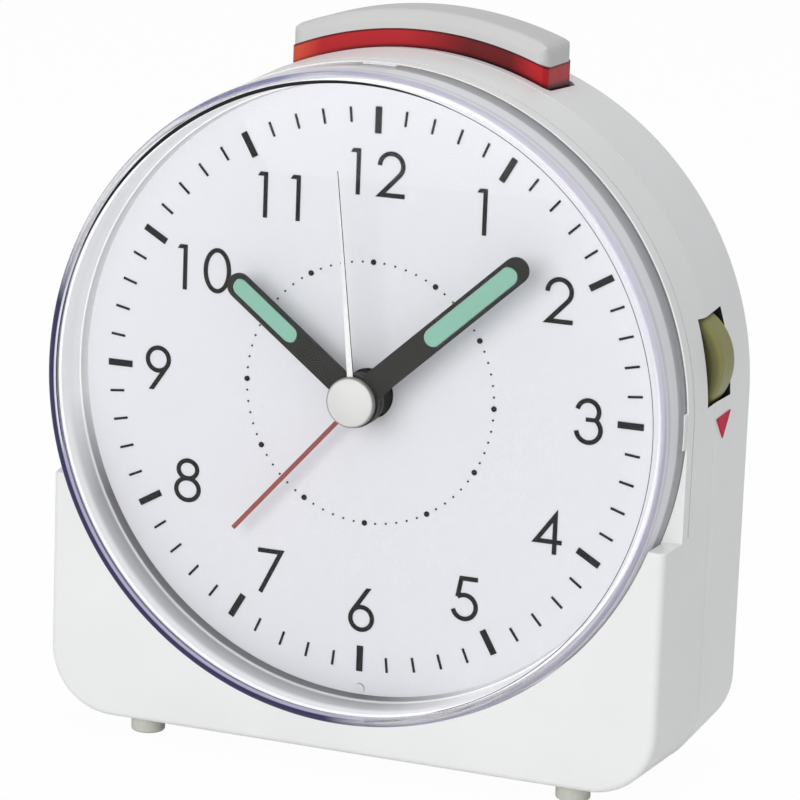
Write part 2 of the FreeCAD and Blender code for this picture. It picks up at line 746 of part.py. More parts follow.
def build_rear_housing():
    body = new_body("rear_housing")
    housing_outline(body, of.seam_level, of.seam_radius, of.rear_level, of.rear_radius)
    back = of.rear_level.value
    add_fillet(body, of.rear_edge_round, lambda p: near(p.y, back))
    inner_back = of.rear_level - of.wall
    hollow = new_sketch(body, "XZ", of.seam_level)
    add_horseshoe(hollow, of.inner_radius, of.inner_floor, of.inner_corner)
    add_pocket(body, hollow, inner_back - of.seam_level)
    bosses = new_sketch(body, "XZ", inner_back + 0.2)
    for x, z in boss_centres():
        add_circle(bosses, x, z, of.boss_radius)
    add_pad(body, bosses, inner_back - of.seam_level + 0.2)
    axle_boss = new_sketch(body, "XZ", inner_back + 0.2)
    add_circle(axle_boss, of.thumb_x, of.thumb_z, of.axle_boss_radius)
    add_pad(body, axle_boss, inner_back + 0.2 - of.axle_boss_front)
    bay = new_sketch(body, "XZ", inner_back + 0.2)
    add_rectangle(bay, -of.bay_half_width, of.bay_half_width, -of.inner_floor, -of.bay_top)
    add_pad(body, bay, inner_back + 0.2 - of.bay_front)
    cradles = new_sketch(body, "XZ", inner_back + 0.2)
    for side in (1, -1):
        middle = of.cradle_z * side
        add_rectangle(cradles, -of.rod_x - of.rod_radius, -of.rod_x + of.rod_radius,
                      middle - of.cradle_half, middle + of.cradle_half)
    add_pad(body, cradles, inner_back + 0.2 - of.rod_level)
    shelf = new_sketch(body, "XY", of.shelf_bottom)
    add_rectangle(shelf, -of.shelf_half_width, of.shelf_half_width, of.shelf_front,
                  inner_back + 0.2)
    add_pad(body, shelf, of.shelf_thickness)
    passages = new_sketch(body, "XZ", of.seam_level)
    for x, z in boss_centres():
        add_circle(passages, x, z, of.screw_passage)
    add_pocket(body, passages, of.rear_level)
    wells = new_sketch(body, "XZ", of.screw_seat)
    for x, z in boss_centres():
        add_circle(wells, x, z, of.screw_well)
    add_pocket(body, wells, of.rear_level - of.screw_seat + 1)
    axle = new_sketch(body, "XZ", of.axle_boss_front)
    add_circle(axle, of.thumb_x, of.thumb_z, of.axle_radius + of.hand_fit)
    add_pocket(body, axle, of.axle_back - of.axle_boss_front + 0.3)
    inside = new_sketch(body, "XZ", of.bay_inner_front)
    add_rectangle(inside, -of.bay_inner_half, of.bay_inner_half, -of.bay_inner_bottom,
                  -of.bay_inner_top)
    add_pocket(body, inside, of.rear_level - of.bay_inner_front + 1)
    doorway = new_sketch(body, "XZ", inner_back)
    add_rectangle(doorway, -of.door_half_width - of.door_gap, of.door_half_width + of.door_gap,
                  -of.door_bottom - of.door_gap, -of.door_top + of.door_gap)
    add_pocket(body, doorway, of.wall + 1)
    pins = new_sketch(body, "YZ")
    add_circle(pins, of.rear_level - of.wall / 2, -of.door_bottom + of.wall / 2,
               of.door_pin_radius + of.door_pin_gap)
    add_pocket(body, pins, (of.door_half_width + of.door_pin_length + of.door_gap) * 2, both=True)
    rod = new_sketch(body, "XY")
    add_circle(rod, -of.rod_x, of.rod_level, of.rod_radius + of.cradle_gap)
    add_pocket(body, rod, of.rod_half_length * 2, both=True)
    snooze = new_sketch(body, "XY", 60)
    wide = of.button_half_width + of.button_gap
    add_rectangle(snooze, -wide, wide, of.button_front - of.button_gap,
                  of.button_back + of.button_gap)
    add_pocket(body, snooze, 60 - of.shelf_bottom - of.shelf_thickness)
    slot = new_sketch(body, "YZ", 60)
    add_rectangle(slot, of.seam_level - 1, of.slot_back, of.slot_bottom, of.slot_top)
    add_pocket(body, slot, 60 - of.thumb_x)
    relief = new_sketch(body, "XZ", of.seam_level)
    add_circle(relief, of.thumb_x, of.thumb_z, of.thumb_radius + of.thumb_gap)
    add_pocket(body, relief, of.thumb_back + of.thumb_gap - of.seam_level)
    keys = new_sketch(body, "XZ", inner_back - 1)
    for z in (of.set_key_z, -of.receive_key_z, -of.reset_key_z):
        add_circle(keys, -of.key_x, z, of.key_radius + of.key_gap)
    add_pocket(body, keys, of.wall + 2)
    middle = of.slider_x + of.slider_travel / 2
    reach = of.slider_knob_half + of.slider_travel / 2 + of.slider_gap
    track = new_sketch(body, "XZ", inner_back - 1)
    add_rectangle(track, middle - reach, middle + reach,
                  -of.slider_z - of.slider_stem_height - of.slider_gap,
                  -of.slider_z + of.slider_stem_height + of.slider_gap)
    add_pocket(body, track, of.wall + 2)
    recess = new_sketch(body, "XZ", of.rear_level - of.slider_recess)
    add_rectangle(recess, middle - reach - 1.5, middle + reach + 1.5,
                  -of.slider_z - of.slider_knob_height - 0.7,
                  -of.slider_z + of.slider_knob_height + 0.7)
    add_pocket(body, recess, of.slider_recess + 1)
    sound = new_sketch(body, "XZ", inner_back - 1)
    add_circle(sound, 0, of.buzzer_z, of.sound_hole_radius)
    for i in range(6):
        angle = math.radians(60 * i)
        add_circle(sound, of.sound_ring_radius * math.cos(angle),
                   of.buzzer_z + of.sound_ring_radius * math.sin(angle), of.sound_hole_radius)
    add_pocket(body, sound, of.wall + 2)
    return node(body)


# Lens, reflector ring and dial

def build_lens():
    body = new_body("lens")
    profile = new_sketch(body, "XY")
    inner_face = -of.lens_front + of.lens_plate
    add_loop(profile, [
        (0, -of.lens_front),
        (of.lens_front_radius, -of.lens_front),
        (of.lens_back_radius, 0),
        (of.lens_inner_radius, 0),
        (of.lens_inner_radius, inner_face),
        (0, inner_face),
    ])
    turn_around(body, profile)
    front = -of.lens_front.value
    add_fillet(body, of.lens_round, lambda p: near(p.y, front))
    notches = new_sketch(body, "XZ", -of.lug_height - of.notch_gap)
    half = of.lug_width / 2 + of.notch_gap
    near_side = of.lens_back_radius - of.lens_wall - of.notch_gap
    far_side = of.lens_back_radius + of.lens_gap
    add_rectangle(notches, -half, half, near_side, far_side)
    add_rectangle(notches, near_side, far_side, -half, half)
    add_rectangle(notches, -far_side, -near_side, -half, half)
    add_rectangle(notches, -half, half, -far_side, -near_side)
    add_pocket(body, notches, of.lug_height + 1)
    return node(body)


def build_ring():
    body = new_body("reflector_ring")
    profile = new_sketch(body, "XY")
    add_loop(profile, [
        (of.ring_inner, 0),
        (of.ring_step_inner, -of.ring_step),
        (of.ring_cone_start, -of.ring_step),
        (of.ring_cone_end, -of.ring_front),
        (of.ring_outer, -of.ring_front),
        (of.ring_outer, 0),
    ])
    turn_around(body, profile)
    return node(body)


def build_dial():
    body = new_body("dial_plate")
    disc = new_sketch(body, "XZ", of.dial_thickness)
    add_circle(disc, 0, 0, of.dial_radius)
    add_circle(disc, 0, 0, of.dial_hole)
    add_pad(body, disc, of.dial_thickness)
    return node(body)


def build_marks():
    height = of.print_height.value
    pieces = []
    for i in range(60):
        hour = i % 5 == 0
        radius = (of.hour_mark_radius if hour else of.tick_radius).value
        length = (of.hour_mark_length if hour else of.tick_length).value
        width = (of.hour_mark_width if hour else of.tick_width).value
        mark = Part.makeBox(width, height, length, vec(-width / 2, -height, radius - length / 2))
        mark.rotate(vec(), vec(0, 1, 0), 6 * i)
        pieces.append(mark)
    for i in range(72):
        dot = (of.small_dot_radius if i % 6 else of.large_dot_radius).value
        centre = vec(0, -height, of.alarm_ring_radius.value)
        disc = Part.makeCylinder(dot, height, centre, vec(0, 1, 0))
        disc.rotate(vec(), vec(0, 1, 0), 5 * i)
        pieces.append(disc)
    made("dial_marks", Part.makeCompound(pieces))


# Feet, screws and the small mark beside the thumb wheel

def build_feet():
    places = {
        "foot_front_left": (-of.foot_x, -of.foot_front_level),
        "foot_front_right": (of.foot_x, -of.foot_front_level),
        "foot_rear_left": (-of.foot_x, of.foot_rear_level),
        "foot_rear_right": (of.foot_x, of.foot_rear_level),
    }
    for label, (x, y) in places.items():
        body = new_body(label)
        disc = new_sketch(body, "XY", -of.dial_height)
        add_circle(disc, x, y, of.foot_radius)
        add_pad(body, disc, of.dial_height - of.case_bottom)
        node(body)


def build_screws():
    screws = []
    for i, (x, z) in enumerate(boss_centres()):
        shank = bar("screw_shank_%d" % i, "y", x, of.screw_tip, z, of.screw_radius,
                    of.screw_seat - of.screw_tip + 0.5)
        head = bar("screw_head_%d" % i, "y", x, of.screw_seat, z, of.screw_head_radius,
                   of.screw_head_height)
        solid = fuse("screw_solid_%d" % i, [shank, head])
        groove = block("screw_groove_%d" % i, x - 0.3, x + 0.3,
                       of.screw_seat + of.screw_head_height - 0.8,
                       of.screw_seat + of.screw_head_height + 1, z - 3, z + 3)
        screws.append(cut("screw_%d" % i, solid, groove))
    node(gather("case_screws", screws))


def build_direction_mark():
    body = new_body("direction_mark")
    drawing = new_sketch(body, "YZ")
    length = of.triangle_back - of.triangle_front
    add_loop(drawing, [(0, -of.triangle_top), (length, -of.triangle_top),
                       (length / 2, -of.triangle_tip)])
    add_pad(body, drawing, of.triangle_thickness)
    body.Placement = FreeCAD.Placement(vec(), FreeCAD.Rotation(vec(0, 0, 1), 0))
    body.setExpression("Placement.Rotation.Angle", of.rear_draft.text)
    run = of.rear_level - of.seam_level
    slope = (of.seam_radius - of.rear_radius) / run
    start = of.seam_radius - slope * (of.triangle_front - of.seam_level)
    node(body)
    body.setExpression("Placement.Base.x", start.text)
    body.setExpression("Placement.Base.y", (of.triangle_front - of.dial_forward).text)


# Snooze and light button

def build_snooze():
    body = new_body("snooze_button")
    depth = of.button_back - of.button_front
    band = new_sketch(body, "XZ", of.button_back)
    add_arched_band(band, of.button_half_width, of.skirt_top, of.button_crown)
    add_pad(body, band, depth)
    side = of.button_half_width.value
    ends = (of.button_front.value, of.button_back.value)
    add_fillet(body, of.button_corner, lambda p: near(abs(p.x), side)
               and (near(p.y, ends[0]) or near(p.y, ends[1])))
    crown = of.button_crown.value
    add_fillet(body, of.button_round, lambda p: near(math.hypot(p.x, p.z), crown))
    node(body)

    body = new_body("snooze_skirt")
    band = new_sketch(body, "XZ", of.button_back)
    add_arched_band(band, of.button_half_width, of.skirt_bottom, of.skirt_top)
    add_pad(body, band, depth)
    add_fillet(body, of.button_corner, lambda p: near(abs(p.x), side)
               and (near(p.y, ends[0]) or near(p.y, ends[1])))
    flange = new_sketch(body, "XZ", of.button_back + of.button_gap + 0.5)
    add_arched_band(flange, of.button_half_width + of.button_flange, of.skirt_bottom,
                    of.flange_top_radius)
    add_pad(body, flange, depth + of.button_gap * 2 + 1)
    middle = (of.button_front + of.button_back) / 2
    cups = new_sketch(body, "XY", of.spring_cup_bottom)
    add_circle(cups, -of.spring_x, middle, of.spring_cup_radius)
    add_circle(cups, of.spring_x, middle, of.spring_cup_radius)
    add_pad(body, cups, 2.6)
    rod = new_sketch(body, "XY", of.push_rod_bottom)
    add_circle(rod, 0, middle, of.push_rod_radius)
    add_pad(body, rod, 3)
    node(body)

    shelf_top = of.shelf_bottom + of.shelf_thickness
    half = of.snooze_switch_half
    base = block("snooze_switch_base", -half, half, middle - half, middle + half, shelf_top,
                 shelf_top + of.snooze_switch_height)
    plunger = bar("snooze_switch_plunger", "z", 0, middle, shelf_top,
                  of.snooze_plunger_radius, of.snooze_plunger_top - shelf_top)
    node(fuse("snooze_switch", [base, plunger]))

    height = (of.spring_cup_bottom - shelf_top).value
    wire = of.spring_wire.value
    pitch = (height - 2 * wire) / of.spring_turns.value
    radius = of.spring_radius.value
    for label, x in (("snooze_spring_left", -of.spring_x.value),
                     ("snooze_spring_right", of.spring_x.value)):
        path = Part.makeHelix(pitch, height - 2 * wire, radius)
        circle = Part.Circle(vec(radius, 0, 0), vec(0, 1, 0), wire)
        coil = Part.Wire(path).makePipeShell([Part.Wire(circle.toShape())], True, True)
        coil.translate(vec(x, middle.value, shelf_top.value + wire))
        made(label, Part.makeCompound([coil]))


# Battery, its contacts and the door

def build_battery():
    middle_z = -of.cell_depth
    can = bar("cell_can", "x", -of.cell_half_length - of.cell_nub_length / 2, of.cell_level,
              middle_z, of.cell_radius, of.cell_half_length * 2)
    nub = bar("cell_nub", "x", 0, of.cell_level, middle_z, of.cell_nub_radius,
              of.cell_half_length + of.cell_nub_length / 2)
    node(fuse("battery", [can, nub]))
    end = of.cell_half_length + of.cell_nub_length / 2
    half = of.contact_half_width
    wall_side = of.bay_inner_half
    plate = block("contact_plus_plate", wall_side - of.contact_thickness, wall_side,
                  of.cell_level - half, of.cell_level + half, middle_z - half, middle_z + half)
    bump = bar("contact_plus_bump", "x", end, of.cell_level, middle_z, of.cell_nub_radius,
               wall_side - end)
    node(fuse("contact_positive", [plate, bump]))
    plate = block("contact_minus_plate", -wall_side, -wall_side + of.contact_thickness,
                  of.cell_level - half, of.cell_level + half, middle_z - half, middle_z + half)
    cone = doc.addObject("Part::Cone", "contact_minus_cone")
    cone.Placement = FreeCAD.Placement(vec(), FreeCAD.Rotation(*TURNS["x"]))
    cone.setExpression("Radius1", of.contact_cone_radius.text)
    cone.setExpression("Radius2", of.cell_nub_radius.text)
    cone.setExpression("Height", (wall_side - end).text)
    cone.setExpression("Placement.Base.x", (-wall_side).text)
    cone.setExpression("Placement.Base.y", of.cell_level.text)
    cone.setExpression("Placement.Base.z", middle_z.text)
    node(fuse("contact_negative", [plate, cone]))

    thick = of.wall
    inner = of.rear_level - thick
    axis_y = of.rear_level - thick / 2
    axis_z = -of.door_bottom + thick / 2
    wide = of.door_half_width
    panel = block("door_panel", -wide, wide, inner, of.rear_level, axis_z, -of.door_top)
    roll = bar("door_roll", "x", -wide, axis_y, axis_z, thick / 2, wide * 2)
    pins = bar("door_pins", "x", -wide - of.door_pin_length, axis_y, axis_z, of.door_pin_radius,
               (wide + of.door_pin_length) * 2)
    solid = fuse("door_solid", [panel, roll, pins])
    grip_top = -of.door_top - 2
    grip = block("door_grip", -of.grip_half_width, of.grip_half_width,
                 of.rear_level - of.grip_depth, of.rear_level + 1, grip_top - of.grip_height,
                 grip_top)
    node(cut("battery_door", solid, grip))


# Keys, alarm slider, buzzer and circuit board

def build_rear_controls():
    inner_back = of.rear_level - of.wall
    board_back = of.board_front + of.board_thickness
    switches = []
    for name, z in (("set", of.set_key_z), ("receive", -of.receive_key_z),
                    ("reset", -of.reset_key_z)):
        body = new_body(name + "_button")
        profile = new_sketch(body, "XY")
        add_loop(profile, [
            (0, of.key_stem_end),
            (of.key_stem_radius, of.key_stem_end),
            (of.key_stem_radius, of.key_flange_front),
            (of.key_flange_radius, of.key_flange_front),
            (of.key_flange_radius, of.key_flange_back),
            (of.key_radius, of.key_flange_back),
            (of.key_radius, of.key_face),
            (0, of.key_face),
        ])
        turn_around(body, profile)
        node(body)
        body.setExpression("Placement.Base.x", (-of.key_x).text)
        body.setExpression("Placement.Base.z", (of.dial_height + z).text)
        half = of.key_switch_half
        switches.append(block(name + "_switch_base", -of.key_x - half, -of.key_x + half,
                              board_back, of.key_switch_back, z - half, z + half))
        switches.append(bar(name + "_switch_plunger", "y", -of.key_x, board_back, z,
                            of.key_stem_radius, of.key_plunger_back - board_back))
    node(fuse("button_switches", switches))

    x, z = of.slider_x, -of.slider_z
    knob = block("slider_knob", x - of.slider_knob_half, x + of.slider_knob_half,
                 of.rear_level - of.slider_recess + 0.05, of.rear_level - 0.1,
                 z - of.slider_knob_height, z + of.slider_knob_height)
    stem = block("slider_stem", x - of.slider_knob_half, x + of.slider_knob_half,
                 inner_back - 0.6, of.rear_level - 0.2,
                 z - of.slider_stem_height, z + of.slider_stem_height)
    plate = block("slider_plate", x - of.slider_plate_half, x + of.slider_plate_half,
                  inner_back - 1.1, inner_back - 0.1,
                  z - of.slider_plate_height, z + of.slider_plate_height)
    node(fuse("alarm_switch", [knob, stem, plate]))

    body = new_body("buzzer")
    disc = new_sketch(body, "XZ", of.buzzer_back)
    add_circle(disc, 0, of.buzzer_z, of.buzzer_radius)
    add_pad(body, disc, of.buzzer_back - of.buzzer_front)
    node(body)

    body = new_body("circuit_board")
    outline = new_sketch(body, "XZ", board_back)
    add_rectangle(outline, -of.board_half_width, of.board_half_width, -of.board_bottom,
                  of.board_top)
    add_pad(body, outline, of.board_thickness)
    node(body)
    chip = block("chip_block", of.chip_x, of.chip_x + of.chip_side, board_back,
                 board_back + of.chip_height, of.chip_z, of.chip_z + of.chip_side)
    node(gather("controller_chip", [chip]))
    can = bar("crystal_can", "x", of.crystal_x, board_back + of.crystal_radius, of.crystal_z,
              of.crystal_radius, of.crystal_length)
    node(gather("quartz_crystal", [can]))


def build_antenna():
    rod = bar("ferrite_rod_bar", "z", -of.rod_x, of.rod_level, -of.rod_half_length,
              of.rod_radius, of.rod_half_length * 2)
    node(gather("ferrite_rod", [rod]))
    outer = bar("winding_outer", "z", -of.rod_x, of.rod_level, -of.winding_half_length,
                of.winding_radius, of.winding_half_length * 2)
    hole = bar("winding_hole", "z", -of.rod_x, of.rod_level, -of.winding_half_length - 1,
               of.rod_radius + of.cradle_gap, of.winding_half_length * 2 + 2)
    node(cut("antenna_coil", outer, hole))


# Hands

def hub_profile(body, bore, radius, front, back):
    profile = new_sketch(body, "XY")
    add_loop(profile, [(bore, -front), (radius, -front), (radius, -back), (bore, -back)])
    turn_around(body, profile)


def broad_hand(label, hub_front, hub_back, bore, level, reach, lume, angle):
    """A hand with parallel sides and a round tip, with a slot for its luminous bar."""
    body = new_body(label)
    hub_profile(body, bore + of.hand_fit, of.hub_radius, hub_front, hub_back)
    blade = new_sketch(body, "XZ", -level + of.hand_thickness / 2)
    half = of.hand_width / 2
    r, high = half.value, (reach - half).value
    start = (bore + of.hand_fit + 0.4).value
    cap = Part.Circle(vec(0, high, 0), vec(0, 0, 1), r)
    blade.addGeometry(Part.ArcOfCircle(cap, 0, math.pi), False)
    blade.addGeometry(Part.LineSegment(vec(-r, high, 0), vec(-r, start, 0)), False)
    blade.addGeometry(Part.LineSegment(vec(-r, start, 0), vec(r, start, 0)), False)
    blade.addGeometry(Part.LineSegment(vec(r, start, 0), vec(r, high, 0)), False)
    blade.addConstraint(rule("Tangent", 0, 2, 1, 1))
    blade.addConstraint(rule("Coincident", 1, 2, 2, 1))
    blade.addConstraint(rule("Coincident", 2, 2, 3, 1))
    blade.addConstraint(rule("Tangent", 3, 2, 0, 1))
    blade.addConstraint(rule("PointOnObject", 0, 3, -2))
    blade.addConstraint(rule("Vertical", 1))
    blade.addConstraint(rule("Horizontal", 2))
    bound(blade, "Radius", 0, half)
    bound(blade, "DistanceY", 0, 3, reach - half)
    bound(blade, "DistanceY", 2, 1, bore + of.hand_fit + 0.4)
    add_pad(body, blade, of.hand_thickness)
    first, last, width = lume
    slot = new_sketch(body, "XZ", -level - of.hand_thickness)
    add_bar(slot, width + of.lume_gap * 2, first - of.lume_gap, last + of.lume_gap)
    add_pocket(body, slot, of.hand_thickness * 2)
    node(body, angle)
    insert = new_body(label.replace("hand", "lume"))
    drawing = new_sketch(insert, "XZ", -level + of.lume_thickness / 2)
    add_bar(drawing, width, first, last)
    add_pad(insert, drawing, of.lume_thickness)
    node(insert, angle)


def thin_hand(label, bore, hub_radius, front, back, reach, root, tip, angle):
    body = new_body(label)
    hub_profile(body, bore + of.hand_fit, hub_radius, front, back)
    blade = new_sketch(body, "XZ", -back - 0.05)
    start = bore + of.hand_fit + 0.3
    add_loop(blade, [(-root / 2, start), (root / 2, start), (tip / 2, reach), (-tip / 2, reach)])
    add_pad(body, blade, front - back - 0.1)
    node(body, angle)


def build_hands():
    thin_hand("alarm_hand", of.alarm_tube_inner + 0.15, of.alarm_tube_outer + 0.1,
              of.alarm_hand_front, of.alarm_hand_back, of.alarm_hand_reach,
              of.alarm_hand_width, of.alarm_hand_width, of.alarm_hand_angle)
    broad_hand("hour_hand", of.hour_hub_front, of.hour_hub_back, of.hour_tube_outer,
               of.hour_hand_level, of.hour_hand_reach,
               (of.hour_lume_start, of.hour_lume_end, of.hour_lume_width), of.hour_hand_angle)
    broad_hand("minute_hand", of.minute_hub_front, of.minute_hub_back, of.minute_tube_outer,
               of.minute_hand_level, of.minute_hand_reach,
               (of.minute_lume_start, of.minute_lume_end, of.minute_lume_width),
               of.minute_hand_angle)
    thin_hand("second_hand", of.arbor_radius, of.second_hub_radius, of.second_hand_front,
              of.second_hand_back, of.second_hand_reach, of.second_hand_root,
              of.second_hand_tip, of.second_hand_angle)
    body = new_body("centre_cap")
    profile = new_sketch(body, "XY")
    bore = of.arbor_radius + of.hand_fit
    bottom = -of.second_hand_front
    add_loop(profile, [
        (0, -of.cap_front), (of.cap_radius, -of.cap_front), (of.cap_radius, bottom),
        (bore, bottom), (bore, bottom - 0.4), (0, bottom - 0.4),
    ])
    turn_around(body, profile)
    front = -of.cap_front.value
    add_fillet(body, of.cap_round, lambda p: near(p.y, front))
    node(body)


# Toothed wheels

def gear(teeth, module, x, z, tooth_angle, level, depth):
    """A toothed disc with one tooth at tooth_angle, measured from x towards z."""
    radius = teeth * module / 2
    tip = radius + 0.85 * module
    root = radius - 1.05 * module
    half = 90 / teeth * (1 - of.backlash.value)
    points = []
    for i in range(teeth):
        middle = tooth_angle + 360 * i / teeth
        for reach, turn in ((root, -1.25), (tip, -0.55), (tip, 0.55), (root, 1.25)):
            angle = math.radians(middle + turn * half)
            points.append(vec(x + reach * math.cos(angle), level, z + reach * math.sin(angle)))
    face = Part.Face(Part.makePolygon(points + points[:1]))
    return face.extrude(vec(0, depth, 0))


def disc(radius, x, z, level, depth):
    return Part.makeCylinder(radius, depth, vec(x, level, z), vec(0, 1, 0))


def joined(solids, bore=None):
    shape = solids[0].fuse(solids[1:]) if len(solids) > 1 else solids[0]
    if bore is not None:
        shape = shape.cut(bore)
    return shape.removeSplitter()


def polar(origin, distance, degrees):
    angle = math.radians(degrees)
    return (origin[0] + distance * math.cos(angle), origin[1] + distance * math.sin(angle))


def gear_places():
    """Centres of all wheels, worked out from tooth counts and modules."""
    fine = of.fine_module.value
    big = of.alarm_module.value
    places = {"centre": (0.0, 0.0)}
    places["motion"] = polar((0, 0), (TEETH["cannon_teeth"] + TEETH["motion_teeth"]) * fine / 2, 180)
    out = (TEETH["centre_teeth"] + TEETH["reduction_pinion_teeth"]) * fine / 2
    for side, turn, last in (("minute", -60, -15), ("second", 120, 165)):
        places[side + "_reduction"] = polar((0, 0), out, turn)
        step = (TEETH[side + "_reduction_teeth"] + TEETH["rotor_teeth"]) * fine / 2
        places[side + "_rotor"] = polar(places[side + "_reduction"], step, last)
    thumb = (of.thumb_x.value, of.thumb_z.value)
    places["thumb"] = thumb
    span = math.hypot(*thumb)
    first = (TEETH["alarm_teeth"] + TEETH["idler_teeth"]) * big / 2
    second = (TEETH["thumb_teeth"] + TEETH["idler_teeth"]) * big / 2
    along = (first ** 2 - second ** 2 + span ** 2) / (2 * span)
    aside = math.sqrt(first ** 2 - along ** 2)
    heading = math.degrees(math.atan2(thumb[1], thumb[0]))
    foot = polar((0, 0), along, heading)
    places["idler"] = polar(foot, aside, heading - 90)
    return places


def heading(start, end):
    return math.degrees(math.atan2(end[1] - start[1], end[0] - start[0]))


def build_wheels():
    at = gear_places()
    fine = of.fine_module.value
    big = of.alarm_module.value
    small = of.hour_module.value
    pivot = of.pivot_radius.value
    front, back = of.pivot_front.value, of.pivot_back.value
    tube_end = 10.4

    # Alarm train: thumb pinion, idler and alarm wheel
    to_idler = heading(at["thumb"], at["idler"])
    to_alarm = heading(at["idler"], at["centre"])
    idler_tooth = to_idler + 180 + 180 / TEETH["idler_teeth"]
    pitch = 360 / TEETH["idler_teeth"]
    offset = (to_alarm - idler_tooth) % pitch
    alarm_gap = to_alarm + 180 + offset * TEETH["idler_teeth"] / TEETH["alarm_teeth"]
    alarm_tooth = alarm_gap + 180 / TEETH["alarm_teeth"]
    x, z = at["thumb"]
    wheel_front, wheel_back = of.thumb_front.value, of.thumb_back.value
    rim = disc(of.thumb_radius.value, x, z, wheel_front, wheel_back - wheel_front)
    rim = rim.makeFillet(of.thumb_round.value, [
        edge for edge in rim.Edges if edge.Curve.TypeId == "Part::GeomCircle"])
    sleeve = disc(of.thumb_sleeve.value, x, z, 2.8, of.thumb_sleeve_back.value - 2.8)
    pinion = gear(TEETH["thumb_teeth"], big, x, z, to_idler, 2.8, 1.2)
    bore = disc(of.axle_radius.value + of.pivot_gap.value, x, z, 0, 20)
    made("alarm_thumb_wheel", joined([rim, sleeve, pinion], bore))
    length = of.axle_back.value - of.axle_front.value
    made("thumb_wheel_axle", disc(of.axle_radius.value, x, z, of.axle_front.value, length))
    x, z = at["idler"]
    stud = of.idler_stud_radius.value + of.pivot_gap.value
    made("alarm_idler", joined([gear(TEETH["idler_teeth"], big, x, z, idler_tooth, 2.8, 1.2)],
                               disc(stud, x, z, 0, 10)))
    tube_front = -of.alarm_hand_back.value
    tube = disc(of.alarm_tube_outer.value, 0, 0, tube_front, 4.0 - tube_front)
    tooth_ring = gear(TEETH["alarm_teeth"], big, 0, 0, alarm_tooth, 2.8, 1.2)
    made("alarm_wheel", joined([tube, tooth_ring], disc(of.alarm_tube_inner.value, 0, 0, -10, 30)))

    # Motion work: cannon pinion, motion wheel and hour wheel
    to_motion = heading(at["centre"], at["motion"])
    x, z = at["motion"]
    wheel = gear(TEETH["motion_teeth"], fine, x, z, to_motion + 180 + 180 / TEETH["motion_teeth"], 8.0, 1.0)
    pinion = gear(TEETH["motion_pinion_teeth"], small, x, z, to_motion + 180, 6.4, 1.0)
    spacer = disc(of.wheel_hub.value, x, z, 7.2, 1.0)
    made("motion_wheel", joined([wheel, pinion, spacer],
                                disc(of.stud_radius.value + of.pivot_gap.value, x, z, 0, 20)))
    hour_ring = gear(TEETH["hour_teeth"], small, 0, 0, to_motion + 180 / TEETH["hour_teeth"], 6.4, 1.0)
    tube_front = -of.hour_hub_front.value
    tube = disc(of.hour_tube_outer.value, 0, 0, tube_front, 7.4 - tube_front)
    made("hour_wheel", joined([hour_ring, tube], disc(of.hour_tube_inner.value, 0, 0, -10, 30)))

    # Centre wheels with their reduction wheels and rotors
    cannon = gear(TEETH["cannon_teeth"], fine, 0, 0, to_motion, 8.0, 1.0)
    to_reduction = heading(at["centre"], at["minute_reduction"])
    ring = gear(TEETH["centre_teeth"], fine, 0, 0, to_reduction + 180 / TEETH["centre_teeth"], 9.6, 0.8)
    tube_front = -of.minute_hub_front.value
    tube = disc(of.minute_tube_outer.value, 0, 0, tube_front, tube_end - tube_front)
    made("minute_wheel", joined([ring, cannon, tube],
                                disc(of.minute_tube_inner.value, 0, 0, -10, 30)))
    to_reduction = heading(at["centre"], at["second_reduction"])
    ring = gear(TEETH["centre_teeth"], fine, 0, 0, to_reduction + 180 / TEETH["centre_teeth"], 11.4, 0.8)
    arbor_front = -of.second_hand_front.value - 0.3
    arbor = disc(of.arbor_radius.value, 0, 0, arbor_front, back - arbor_front)
    made("second_wheel", joined([ring, arbor]))

    levels = {"minute": (9.4, 8.0, 7.8, 11.0), "second": (11.2, 13.0, 12.8, 9.0)}
    for side, (pinion_level, wheel_level, rotor_level, magnet_level) in levels.items():
        centre, rotor = at[side + "_reduction"], at[side + "_rotor"]
        teeth = TEETH[side + "_reduction_teeth"]
        to_rotor = heading(centre, rotor)
        inward = heading(centre, at["centre"])
        low = min(pinion_level, wheel_level)
        parts = [
            gear(TEETH["reduction_pinion_teeth"], fine, centre[0], centre[1], inward, pinion_level, 1.2),
            gear(teeth, fine, centre[0], centre[1], to_rotor + 180 / teeth, wheel_level, 0.8),
            disc(of.wheel_hub.value, centre[0], centre[1], low, 2.4),
            disc(pivot, centre[0], centre[1], front, back - front),
        ]
        made(side + "_reduction_wheel", joined(parts))
        parts = [
            gear(TEETH["rotor_teeth"], fine, rotor[0], rotor[1], to_rotor + 180, rotor_level, 1.2),
            disc(of.magnet_radius.value, rotor[0], rotor[1], magnet_level, 2.0),
            disc(pivot, rotor[0], rotor[1], front, back - front),
        ]
        made(side + "_rotor", joined(parts))
    return at


